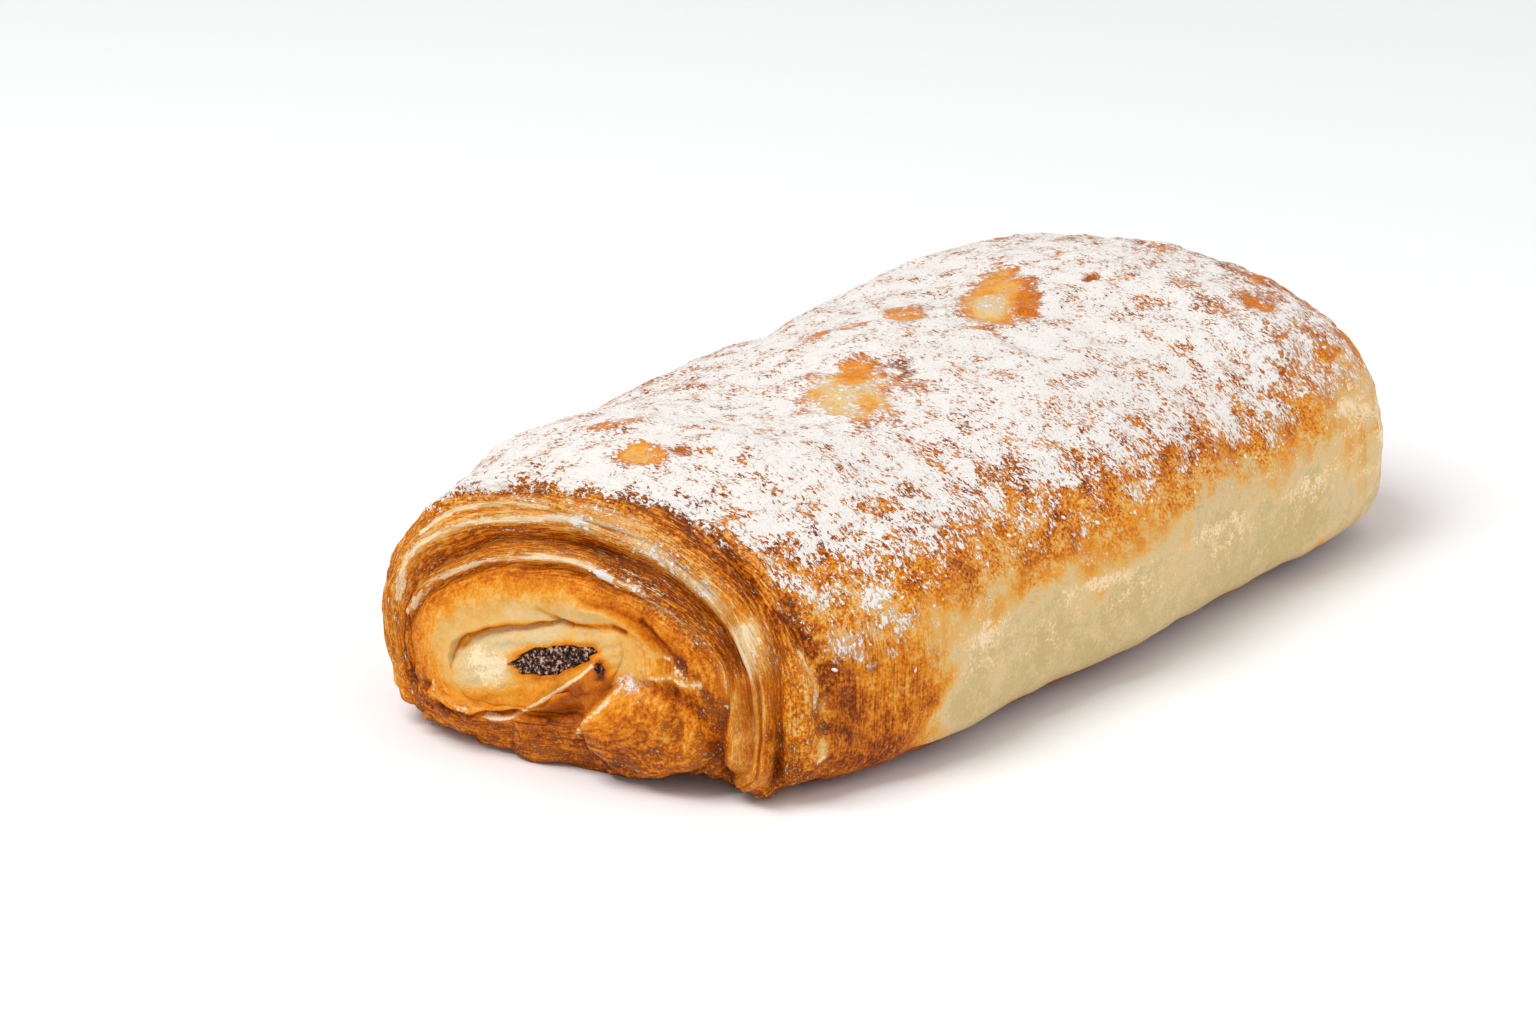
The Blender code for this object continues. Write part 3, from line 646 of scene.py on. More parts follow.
skin = grid + (rise * mm)[..., None] * outward(grid)
skin[0, :, 1:] = grid[0, :, 1:]
skin[-1, :, 1:] = grid[-1, :, 1:]
skin[..., 2] = np.maximum(skin[..., 2], 0.0)
print("the skin is", round((skin[..., 0].max() - skin[..., 0].min()) / mm, 1), "mm long")

# %% [markdown]
# ## How brown
#
# `bake` says how far the dough has browned, from pale (0) over gold and orange to dark brown (1), and it
# carries painted shade and painted highlights as well. The side walls touched the next rolls in the tray,
# so they stayed pale below and turn orange where they bend over. On the open end the lips of the folds are
# light
# and the grooves dark: the grooves, creases and crevices are partly darkened as painted shade under the
# overhanging dough, and some lips and the lobe are partly lightened as painted highlights. Each rule is a
# short table: a height or a fold, and the value there, or a stroke and its value. The shader breaks these
# even bands up later.

# %% Browning of the ends, with painted shade in their grooves
# The darker values at the grooves between lips are partly painted shade under the overhanging lip, on top
# of real browning.
END_BAKE_AND_SHADE = (            # bearing of a quarter of an open end, then fold and bake from the eye to the rim
    (0.0, ((0.0, 0.32), (0.25, 0.36), (0.42, 0.50), (0.6, 0.64), (1.0, 0.60), (1.5, 0.66), (2.0, 0.60),
           (2.5, 0.52), (3.0, 0.54), (3.3, 0.60), (3.6, 0.68), (4.0, 0.66))),
    (90.0, ((0.0, 0.22), (0.28, 0.27), (0.45, 0.38), (0.6, 0.53), (0.8, 0.62), (0.95, 0.64), (1.1, 0.66),
            (1.4, 0.66), (1.8, 0.68), (2.1, 0.71), (2.3, 0.64), (2.45, 0.48), (2.6, 0.46), (2.8, 0.48),
            (2.95, 0.54), (3.2, 0.66), (3.5, 0.73), (4.0, 0.73))),
    (180.0, ((0.0, 0.28), (0.3, 0.36), (0.55, 0.50), (0.85, 0.64), (1.0, 0.74), (1.2, 0.64), (1.6, 0.58),
             (2.0, 0.66), (2.3, 0.52), (2.6, 0.62), (3.0, 0.55), (3.5, 0.66), (4.0, 0.62))),
    (270.0, ((0.0, 0.48), (0.15, 0.56), (0.35, 0.72), (0.6, 0.80), (0.9, 0.77), (1.5, 0.80), (2.5, 0.78),
             (3.0, 0.76), (4.0, 0.90))),
)
quarters = [np.maximum(np.cos(bearing - np.radians(middle)), 0.0) ** 1.4 for middle, _ in END_BAKE_AND_SHADE]
end_bake_and_shade = sum(part * across(fold, table) for part, (_, table) in zip(quarters, END_BAKE_AND_SHADE)) / sum(quarters)
print("bake of the ends from", end_bake_and_shade.min().round(2), "to", end_bake_and_shade.max().round(2))

# %% Browning of the body
WALL_BAKE = (           # height in mm, bake
    (0.0, 0.84), (0.6, 0.50), (1.3, 0.16), (2.2, 0.06), (8.0, 0.03), (12.0, 0.07), (14.5, 0.12),
    (17.5, 0.26), (19.5, 0.42), (22.0, 0.53), (25.0, 0.64), (29.0, 0.70), (38.0, 0.68),
)
CORNER_BAKE = (
    (0.0, 0.86), (4.0, 0.76), (9.0, 0.71), (14.0, 0.56), (20.0, 0.49), (26.0, 0.62), (30.0, 0.70),
    (38.0, 0.70),
)
NEAR_CORNER, CORNER_LENGTH = -45.0, 7.0         # x where the open end's browning gives way to the pale wall
UNDERSIDE_BAKE = 0.90
WALL_UNEVEN = ((1.4, 24.0, 31), (1.1, 6.0, 32), (0.8, 2.6, 37))         # mm up or down, size in mm, seed

wave = sum(height * waves(grid, size_mm * mm, seed) for height, size_mm, seed in WALL_UNEVEN)
wall_bake = across(height_mm + wave * smooth((height_mm - 4.0) / 8.0), WALL_BAKE)
wall_bake = np.where(np.sin(bearing) < -0.5, UNDERSIDE_BAKE, wall_bake)
corner_x = NEAR_CORNER + 0.9 * waves(grid * np.array([0.0, 1.0, 1.0]), 12.0 * mm, 34)
corner_x = corner_x + 0.8 * waves(grid, 4.0 * mm, 35) - 0.05 * (height_mm - 12.0)
turned = smooth((corner_x - x_mm) / CORNER_LENGTH + 0.5)                # 1 round the near corner
body_bake = wall_bake + (across(height_mm, CORNER_BAKE) - wall_bake) * turned
print("the near corner's brown ends", corner_x.min().round(1), "to", corner_x.max().round(1), "mm along")

# %% The body's far half
far_turn = smooth((x_mm - 42.0) / 8.0)
far_corner = smooth((x_mm - 34.0) / 16.0)
far_streak = strands(round_way, fold_way, 60.0, 5.0, 33)
scorched = bell(np.hypot((x_mm - 41.0) / 3.0, (height_mm - 3.4) / 2.2)) * (y_mm < 0.0)
body_bake += far_turn * smooth((27.0 - height_mm) / 8.0) * (0.08 + 0.07 * far_streak)
body_bake -= 0.08 * smooth((x_mm + 5.0) / 20.0) * bell((height_mm - 19.0) / 4.5)
body_bake -= 0.12 * far_corner * bell((height_mm - 23.0) / 6.0)
body_bake += 0.5 * scorched
print("bake of the body from", body_bake.min().round(2), "to", body_bake.max().round(2))

# %% Browning, and painted shade in grooves and under lips
# Among these strokes, the grooves, the crevice, the mouth's tip, the flap and the lines beside and left of
# the lobe are darkened as painted shade under overhanging dough, over their browning. The lobe's and the
# wraps' ridges are partly lightened as painted highlights.
STROKE_BAKE_AND_SHADE = (         # bake, strength, half width in mm, stroke
    (0.86, 0.90, 0.85, GROOVE_WRAP), (0.96, 1.00, 0.60, GROOVE_WRAP[9:]), (0.66, 0.60, 1.10, GROOVE_TOP),
    (0.92, 0.90, 0.50, GROOVE_INSIDE), (0.92, 0.90, 0.40, GROOVE_CORNER), (0.96, 0.90, 1.10, GROOVE_RIM),
    (0.94, 0.90, 0.55, GROOVE_LEFT), (0.82, 0.90, 1.00, UNDER_TAIL), (0.84, 0.80, 0.60, BESIDE_LOBE),
    (0.84, 0.70, 0.50, LOBE_LEFT), (0.62, 0.80, 0.35, MOUTH_TIP), (0.88, 0.90, 0.30, MOUTH_TIP[3:]),
    (0.44, 0.60, 0.22, FLAP), (0.50, 0.60, 0.42, FLAP[1:]), (1.10, 0.90, 0.55, DARK_BIT),
    (0.44, 0.80, 1.60, RIDGE_SECOND_RIGHT), (0.50, 0.60, 0.70, RIDGE_LOBE), (0.55, 0.70, 0.50, RIDGE_TAIL),
    (0.60, 0.60, 1.00, RIDGE_OUTER[5:]), (0.98, 1.00, 1.20, BAND), (0.84, 0.85, 2.00, BAND_BELOW),
    (0.46, 0.70, 0.80, BAND_PALE), (0.54, 0.90, 0.42, CREVICE), (0.41, 0.80, 1.70, COLUMN),
    (0.36, 0.70, 1.30, COLUMN_PALE), (0.12, 0.80, 1.60, WHITE), (0.30, 0.70, 0.90, CREAM_SPOT),
    (0.88, 0.85, 0.60, LOW_LINE), (0.80, 0.75, 1.90, LOW_BAND),
) + tuple((0.30, 0.70, 1.50, path) for path in CREAM_PATCHES)

to_body = smooth((share - 0.9) / 0.1) * is_near + smooth((share - 0.82) / 0.16) * is_far + is_body
bake = end_bake_and_shade + (body_bake - end_bake_and_shade) * to_body
# Painted shade darkens the crease valleys and the furrows round the lobes, and a painted highlight lightens
# the raised edge beside each crease.
bake += 0.12 * valley * (1.0 - is_body * 0.3) - 0.06 * edge * on_end + 0.08 * moat * on_end
# A painted highlight lightens the lobe low on the open end, about 9 mm up.
bake -= 0.04 * low_end * is_near * bell((height_mm - 9.0) / 3.5) * smooth((fold - 0.3) / 0.2)
# The strokes paint browning, painted shade in the grooves and crevices, and painted highlights on ridges.
for target, strength, half_mm, path in STROKE_BAKE_AND_SHADE:
    bake += (target - bake) * strength * drawn(skin, half_mm, path)
print("bake from", bake.min().round(2), "to", bake.max().round(2))

# %% [markdown]
# ## Pale lips, flecks and flakes
#
# The edge of each layer dried out before it could brown, and it is lightened further as a painted highlight
# where a lip catches the light, so the lips are nearly white. The soft wall tore in small flecks where it
# parted from the next roll, and the open end is flaky all over, its flakes partly painted highlights.
# `pale` gathers all three. The shader compares it with noise, so a lip is solid and a weak value becomes
# scattered flecks.

# %% Pale places
# The lips' pale colour is partly real pale dough and partly a painted highlight where each lip catches the
# light.
STROKE_PALE = (         # strength, half width in mm, stroke
    (0.95, 0.34, RIDGE_OUTER), (0.95, 0.40, RIDGE_SECOND), (0.52, 0.90, RIDGE_SECOND_RIGHT[:6]),
    (0.90, 0.36, RIDGE_INNER), (0.45, 0.45, RIDGE_INNER_RIGHT), (0.55, 0.26, RIDGE_TAIL[:5]),
    (1.00, 0.30, RIDGE_TAIL[5:9]), (0.70, 0.45, RIDGE_LOBE), (0.55, 0.50, BAND_PALE),
    (0.70, 0.80, CREAM_SPOT), (0.60, 0.24, RIDGE_MOUTH), (0.78, 1.20, COLUMN_PALE),
) + tuple((0.50, 1.30, path) for path in CREAM_PATCHES)
FAR_LIPS = ((1.0, 0.08), (2.98, 0.07))          # fold where a pale lip of the far end runs, its half width
WALL_GRAIN = np.array([0.35, 1.0, 1.6])         # the wall's flecks lie along the roll

pale = is_far * 0.7 * sum(bell((fold - lip) / half_width) for lip, half_width in FAR_LIPS)
for strength, half_mm, path in STROKE_PALE:
    pale = np.maximum(pale, strength * drawn(skin, half_mm, path))
pale *= 1.0 + 0.22 * waves(grid, 6.0 * mm, 36)

flecked = 0.34 * bell((height_mm - 14.0) / 5.0) + 0.17 + 0.13 * waves(grid * WALL_GRAIN, 5.0 * mm, 38)
flecked += 0.34 * far_corner * bell((height_mm - 21.0) / 5.0)
flecked *= smooth((24.0 + 4.0 * far_corner - height_mm) / 6.0)
flecked *= to_body * (1.0 - turned) * (np.sin(bearing) > -0.5)
# The flakes are pale flakes of dough and, above all on the lower lobes, painted highlights too.
flakes_and_highlights = 0.12 * is_near * smooth((fold - 0.4) / 0.5)
flakes_and_highlights += 0.05 * is_body * turned * smooth((26.0 - height_mm) / 6.0)
flakes_and_highlights += 0.15 * low_end * is_near * smooth((fold - 0.3) / 0.3)
pale = np.maximum(pale, flecked) + flakes_and_highlights
print("share of the crust that is pale:", float((pale > 0.6).mean().round(3)))

# %% [markdown]
# ## How sweet
#
# The powder fell from above, so it lies on what faces up: all over the crest, then thinner and thinner down
# the shoulders, and a little thinner still at the far front corner. Some is caught on the folds of the open
# end. `sugar` is the share of the surface that it covers. Where the crust blistered after dusting, it is
# nearly bare, and its blisters are golden.

# %% Sugar on the body
SUGAR_HEIGHTS = (       # height in mm, share covered
    (0.0, -0.3), (14.0, -0.3), (18.0, -0.10), (22.0, 0.10), (25.0, 0.30), (28.0, 0.54), (30.5, 0.68),
    (33.0, 0.76), (35.0, 0.79), (40.0, 0.79),
)
sugar = across(height_mm + 1.1 * waves(grid, 16.0 * mm, 41) + 1.8 * smooth(x_mm / 25.0), SUGAR_HEIGHTS)
sugar -= 0.13 * smooth((x_mm - 30.0) / 14.0) * smooth((-8.0 - y_mm) / 10.0)
corner_dust = 0.34 + 0.16 * waves(grid, 7.0 * mm, 45)
sugar += corner_dust * turned * smooth((height_mm - 7.0) / 9.0) * smooth((0.40 - sugar) / 0.4)
print("sugar on the crest:", sugar.max().round(2))

# %% Sugar on the open end
BARE_END = -0.45                # below 0, so that the shader's noise leaves it bare
STROKE_SUGAR = (        # density, half width in mm, stroke
    (0.85, 1.90, RIDGE_SECOND_RIGHT[:5]), (0.78, 1.00, RIDGE_INNER_RIGHT[:6]),
    (0.72, 0.50, RIDGE_INNER[5:]), (0.50, 0.45, RIDGE_SECOND[4:]), (0.88, 1.60, LOBE_DUST),
    (0.86, 1.70, TOP_DUST),
)
DAB_SUGAR, DAB_HALF = 0.66, 0.65                # share covered, half width in mm
BAND_BARE, BAND_HALF = 0.8, 0.9                 # the dark band sheds its sugar

limit = smooth((share - 0.83 - 0.03 * waves(grid, 9.0 * mm, 43)) / 0.17)
end_sugar = np.full_like(share, BARE_END)
for density, half_mm, path in STROKE_SUGAR:
    end_sugar += density * drawn(skin, half_mm, path)
sugar = sugar + (end_sugar - sugar) * (1.0 - limit) * on_end
for path in DABS:
    sugar += (DAB_SUGAR - sugar) * drawn(skin, DAB_HALF, path)
sugar -= BAND_BARE * drawn(skin, BAND_HALF, BAND)
print(len(STROKE_SUGAR) + len(DABS), "dusted folds and dabs")

# %% Bare blisters
BLISTERS = (            # x, y, half length, half width, turn in degrees, bake, sugar left on it
    (-54.3, 1.0, 2.4, 3.1, 0.0, 0.42, 0.12), (-51.0, -2.6, 1.3, 1.2, 0.0, 0.68, 0.3),
    (-47.2, 9.4, 3.6, 1.8, -18.0, 0.56, 0.34), (-17.4, -4.4, 8.4, 5.8, 31.0, 0.27, 0.36),
    (-11.6, -1.5, 4.8, 3.0, 31.0, 0.52, 0.04), (-8.2, -4.6, 3.2, 2.6, 40.0, 0.82, 0.36),
    (-8.8, -5.0, 1.1, 1.0, 0.0, 0.50, 0.80), (-12.6, -8.8, 1.8, 2.8, 60.0, 0.66, 0.45),
    (26.2, 2.2, 12.0, 4.5, 30.0, 0.42, 0.12), (22.2, 0.6, 5.0, 2.3, 30.0, 0.22, 0.24),
    (26.6, -2.7, 7.0, 1.9, 32.0, 0.64, 0.02), (12.0, 7.4, 5.6, 2.8, 35.0, 0.52, 0.22),
    (-19.8, -8.2, 2.4, 1.5, 30.0, 0.46, 0.0), (3.6, 9.6, 4.0, 1.3, 0.0, 0.54, 0.40),
    (-2.0, 11.0, 3.0, 1.1, 0.0, 0.58, 0.42), (38.3, -5.2, 1.5, 1.0, 0.0, 0.85, 0.2),
    (50.7, -24.5, 3.0, 2.4, 0.0, 0.66, 0.3),
)
bare = np.zeros_like(share)
blister_edge = 0.14 * waves(grid, 4.0 * mm, 42)
for x, y, half_x, half_y, degrees, crust_bake, left in BLISTERS:
    c, s = np.cos(np.radians(degrees)), np.sin(np.radians(degrees))
    away_x, away_y = x_mm - x, y_mm - y
    reach = np.hypot((away_x * c + away_y * s) / half_x, (away_y * c - away_x * s) / half_y)
    spot = smooth((1.36 - reach - blister_edge) / 0.75) * (height_mm > 20.0)
    sugar = sugar + (left - sugar) * spot
    bake = bake + (crust_bake - bake) * spot
    bare = np.maximum(bare, smooth((1.75 - reach) / 0.8))
print("sugared share of the crust:", float((sugar > 0.5).mean().round(2)))

# %% [markdown]
# ## How crisp
#
# A crust that baked dry is finely cracked and speckled, while the pale wall steamed against its neighbour
# and is soft and smooth. `crisp` scales all fine contrast, in the shader and in the sugar. It is low on the
# wall, on the blisters, towards the far corner and close to the cheese.

# %% Crispness
crisp = 0.24 + smooth((height_mm + 1.5 * waves(grid, 12.0 * mm, 44) - 16.0) / 9.0)
crisp = np.clip(np.maximum(crisp, 0.55 * turned), 0.0, 1.0)
speckled = smooth((end_sugar + 0.4) / 0.5) + limit
crisp = crisp * is_body + is_near * np.clip(0.38 + 0.6 * speckled + 0.25 * low_end, 0.0, 1.0) + is_far * 0.4
crisp = crisp * (1.0 - 0.75 * bare) * (1.0 - 0.5 * far_corner)
crisp *= 1.0 - 0.9 * (1.0 - smooth((fold - 0.1) / 0.6)) * on_end
print("crisp from", crisp.min().round(2), "to", crisp.max().round(2))

# %% [markdown]
# ## From rings to a mesh
#
# A grid of rings becomes quads. It joins end to end like a tube's skin, or gets a fan of triangles at each
# end. The numbers worked out above go on the mesh as attributes, and the distance round and along the skin
# goes into a UV map called `wraps`, in which a pattern can follow the folds.

# %% A mesh from rings
def ring_mesh(name, rings, closed, attributes, wraps=None):
    """A closed mesh from rings: joined end to end like a tube's skin, or closed by a fan at each end."""
    count, width = rings.shape[:2]
    rows = np.arange(count if closed else count - 1)[:, None]
    columns = np.arange(width)[None, :]
    after_row = (rows + 1) % count
    after_column = (columns + 1) % width
    corners = (rows * width + columns, after_row * width + columns,
               after_row * width + after_column, rows * width + after_column)
    faces = np.stack(corners, axis=-1).reshape(-1, 4).tolist()
    verts = rings.reshape(-1, 3)
    values = {key: value.ravel() for key, value in attributes.items()}
    if not closed:
        for ring, flip in ((0, False), (count - 1, True)):
            middle = len(verts)
            verts = np.concatenate([verts, rings[ring].mean(axis=0)[None]])
            for key in values:
                values[key] = np.append(values[key], attributes[key][ring].mean())
            for j in range(width):
                pair = [ring * width + j, ring * width + (j + 1) % width]
                faces.append([middle, *(pair[::-1] if flip else pair)])
    mesh = bpy.data.meshes.new(name)
    mesh.from_pydata(verts.tolist(), [], faces)
    for key, value in values.items():
        mesh.attributes.new(key, "FLOAT", "POINT").data.foreach_set("value", value.astype(np.float32))
    if wraps is not None:
        round_mm, long_mm = (np.append(way, way[:, :1] + turn, axis=1) for way, turn in wraps)
        long_mm = np.append(long_mm, long_mm[-1:], axis=0)
        round_mm = np.append(round_mm, round_mm[-1:], axis=0)
        steps = ((0, 0), (1, 0), (1, 1), (0, 1))
        uv = np.stack([np.stack([round_mm[i:i + count, j:j + width], long_mm[i:i + count, j:j + width]], -1)
                       for i, j in steps], axis=2)
        mesh.uv_layers.new(name="wraps").data.foreach_set("uv", uv.astype(np.float32).ravel())
    mesh.shade_smooth()
    piece = bpy.data.objects.new(name, mesh)
    bpy.context.scene.collection.objects.link(piece)
    return piece


print("a closed grid of", skin.shape[0], "rings of", skin.shape[1], "points makes as many quads")

# %% The crust
crust = ring_mesh("crust", skin + PLACE, True,
                  {"bake": bake, "sugar": sugar, "strandy": strandy, "pale": pale, "crisp": crisp},
                  ((round_way, round_turn), (fold_way, 0.0)))
print("crust:", len(crust.data.vertices), "points,", 2 * len(crust.data.polygons), "triangles")

# %% [markdown]
# ## Arithmetic for nodes
#
# Shaders and Geometry Nodes are both graphs of nodes. Wiring them by hand hides the idea, so one small
# class wraps a socket and lets Python's own signs add the Math nodes: `1 - mask * 0.5` reads as it is
# meant. Every other node comes from one method, which takes its type, its settings and its inputs.

# %% A socket that does sums
class Wire:
    """A socket that takes part in Python arithmetic."""

    def __init__(self, graph, socket):
        self.graph = graph
        self.socket = socket

    def __add__(self, other):
        return self.graph.maths("ADD", self, other)

    def __sub__(self, other):
        return self.graph.maths("SUBTRACT", self, other)

    def __rsub__(self, other):
        return self.graph.maths("SUBTRACT", other, self)

    def __mul__(self, other):
        return self.graph.maths("MULTIPLY", self, other)

    def __truediv__(self, other):
        return self.graph.maths("DIVIDE", self, other)

    def __rtruediv__(self, other):
        return self.graph.maths("DIVIDE", other, self)

    __radd__ = __add__
    __rmul__ = __mul__


print("signs that add a Math node: +, -, * and /")


# %% A graph that reads as formulas
BUMP_STRENGTH = 0.7


class Graph:
    """A node tree under construction."""

    def __init__(self, tree):
        self.tree = tree

    def node(self, kind, settings=None, inputs=None, output=0):
        """Any node: its type, its settings, the values or links of its sockets, and the socket wanted."""
        made = self.tree.nodes.new(kind)
        for key, value in (settings or {}).items():
            if key == "stops":
                elements = made.color_ramp.elements
                while len(elements) < len(value):
                    elements.new(0.5)
                for element, (place, colour) in zip(elements, value):
                    element.position = place
                    element.color = (*colour, 1.0)
            else:
                setattr(made, key, value)
        for key, value in (inputs or {}).items():
            if isinstance(value, Wire):
                self.tree.links.new(value.socket, made.inputs[key])
            else:
                made.inputs[key].default_value = value
        return Wire(self, made.outputs[output])

    def maths(self, operation, *values):
        return self.node("ShaderNodeMath", {"operation": operation}, dict(enumerate(values)))

    def vector(self, operation, *values):
        return self.node("ShaderNodeVectorMath", {"operation": operation}, dict(enumerate(values)))

    def scaled(self, vector, factor):
        """A vector made longer or shorter."""
        return self.node("ShaderNodeVectorMath", {"operation": "SCALE"}, {0: vector, "Scale": factor})

    def attribute(self, name):
        """A number that was worked out for every point of the mesh."""
        return self.node("ShaderNodeAttribute", {"attribute_name": name}, output="Fac")

    def blend(self, factor, first, second):
        """Mixes two colours."""
        return self.node("ShaderNodeMix", {"data_type": "RGBA"}, {0: factor, 6: first, 7: second}, 2)

    def bump(self, height, deepest):
        """A normal tilted by a height from 0 to 1, which stands for this many metres."""
        return self.node("ShaderNodeBump", {},
                         {"Strength": BUMP_STRENGTH, "Distance": deepest, "Height": height})

    def ramp(self, factor, stops):
        return self.node("ShaderNodeValToRGB", {"stops": stops}, {"Fac": factor})

    def ease(self, value, low, high):
        """0 below low, 1 above high, and smooth between."""
        return self.node("ShaderNodeMapRange", {"interpolation_type": "SMOOTHSTEP"},
                         {"Value": value, "From Min": low, "From Max": high})

    def noise(self, place, size, seed, detail=3.0, rough=0.55, swirl=0.0):
        """Noise of this size in mm, or of three sizes; place is in metres."""
        sizes = size if isinstance(size, tuple) else (size, size, size)
        rates = tuple(1.0 / (value * mm) for value in sizes)
        moved = self.vector("MULTIPLY_ADD", place, rates, (seed * 3.7, seed * 1.3, seed * 7.1))
        return self.node("ShaderNodeTexNoise", {"noise_dimensions": "3D"},
                         {"Vector": moved, "Scale": 1.0, "Detail": detail, "Roughness": rough,
                          "Distortion": swirl})


print("helpers of a graph:", ", ".join(name for name in vars(Graph) if not name.startswith("_")))


# %% [markdown]
# ## Geometry Nodes: the thickness of the sugar
#
# Powdered sugar isn't paint: where it is dense it lies a quarter of a millimetre thick and rounds off the
# crags below. A small Geometry Nodes tree reads the `sugar` attribute, breaks it up with noise and pushes
# the skin out. It could be done in Python too, but the tree has the same noise node that shaders have.

# %% Building and running a tree
FLOAT, WHOLE = "NodeSocketFloat", "NodeSocketInt"


def finish_nodes(piece, tree, values):
    """Runs a tree on the piece with named inputs, and keeps the result as its plain mesh."""
    modifier = piece.modifiers.new(tree.name, "NODES")
    modifier.node_group = tree
    for item in tree.interface.items_tree:
        if item.item_type == "SOCKET" and item.in_out == "INPUT" and item.name in values:
            modifier[item.identifier] = values[item.name]
    graph = bpy.context.evaluated_depsgraph_get()
    mesh = bpy.data.meshes.new_from_object(piece.evaluated_get(graph))
    piece.modifiers.remove(modifier)
    old = piece.data
    piece.data = mesh
    bpy.data.meshes.remove(old)
    return piece


def new_tree(name, inputs):
    """An empty Geometry Nodes tree with a mesh input, these named inputs, and their wires."""
    tree = bpy.data.node_groups.new(name, "GeometryNodeTree")
    tree.interface.new_socket("Geometry", in_out="INPUT", socket_type="NodeSocketGeometry")
    for key, kind, default in inputs:
        socket = tree.interface.new_socket(key, in_out="INPUT", socket_type=kind)
        socket.default_value = default
    tree.interface.new_socket("Geometry", in_out="OUTPUT", socket_type="NodeSocketGeometry")
    graph = Graph(tree)
    group = tree.nodes.new("NodeGroupInput")
    wires = {socket.name: Wire(graph, socket) for socket in group.outputs if socket.name}
    return tree, graph, wires


def finish_tree(tree, geometry):
    """Wires the geometry to the tree's output."""
    output = tree.nodes.new("NodeGroupOutput")
    tree.links.new(geometry.socket, output.inputs[0])
    return tree


print("inputs of a tree are", FLOAT, "or", WHOLE)


# %% Raising the sugar
def powder_tree():
    """Pushes the skin out where sugar covers it."""
    tree, graph, wires = new_tree("powder", (("Thickness", FLOAT, 0.0002), ("Patch size", FLOAT, 3.0),
                                             ("Seed", FLOAT, 1.0)))
    density = graph.node("GeometryNodeInputNamedAttribute", {"data_type": "FLOAT"}, {"Name": "sugar"})
    place = graph.node("GeometryNodeInputPosition")
    rate = 1.0 / (wires["Patch size"] * mm)
    moved = graph.scaled(place, rate)
    patch = graph.node("ShaderNodeTexNoise", {"noise_dimensions": "4D"},
                       {"Vector": moved, "W": wires["Seed"], "Scale": 1.0, "Detail": 4.0, "Roughness": 0.6})
    cover = graph.ease(density + (patch - 0.5) * 1.6, 0.1, 0.9)
    normal = graph.node("GeometryNodeInputNormal")
    lift = graph.scaled(normal, cover * (0.6 + patch) * wires["Thickness"])
    moved_mesh = graph.node("GeometryNodeSetPosition", {}, {"Geometry": wires["Geometry"], "Offset": lift})
    return finish_tree(tree, moved_mesh)


finish_nodes(crust, powder_tree(), {"Thickness": 0.22 * mm, "Patch size": 2.6, "Seed": 4.0})
crust.data.shade_smooth()
print("crust with its sugar:", len(crust.data.vertices), "points")

# %% [markdown]
# ## The cheese core
#
# The core is a soft oval rod. At the end it sits deep under the dough's upper lip, which leaves the dark
# crevice above it, and comes level with the dough below, where both have browned together. Its face is
# drawn as rings between the dark filling and its edge. A last ring is tucked in behind the edge, so that no
# gap shows.

# %% The core's outline
CORE_AROUND = 300
CORE_FACE = 70
DARK_POINTED = 1.75             # exponent of the dark filling's oval, below 2 so that its ends are points
DARK_SWELL = 1.04
DARK_RIPPLES = ((0.06, 3.0, 1.0), (0.05, 7.0, 0.0), (0.04, 13.0, 2.0))  # height, how many, where they start
CORE_UNDER_LIP = (-0.2, 0.7, 1.2, 0.9, 0.25, -0.3, -0.4, -0.4)          # at eight bearings, 1 is deep under
CORE_SPILL = (1.3, 1.5, 0.6, 1.3, 0.5, 1.0, 1.0, 1.0)                   # mm that it laps over the dough
FAR_SPILL = 0.5 * mm
TUCK = 2.0 * mm                 # how deep the last ring lies
EDGE_FOLD = 0.12                # fold of the dough's ring that the core's edge comes level with


def dark_oval(angle, grow=0.0):
    """The dark filling's ragged outline."""
    ragged = rippled(angle, DARK_RIPPLES, DARK_SWELL)
    y, z = oval((0.0, 0.0), DARK_HALF, DARK_TILT, angle, grow, DARK_POINTED)
    return DARK_CENTRE[0] + y * ragged, DARK_CENTRE[1] + z * ragged


core_angle = TURN * 0.75 + np.linspace(0.0, TURN, CORE_AROUND, endpoint=False)
face_shares = np.linspace(0.0, 1.0, CORE_FACE) ** 0.9
under_lip = smooth(around(CORE_UNDER_LIP, core_angle))
spill = around(CORE_SPILL, core_angle)
edge_row = int(np.searchsorted(near_fold, EDGE_FOLD))
print("the core laps over the dough by up to", spill.max().round(1), "mm")

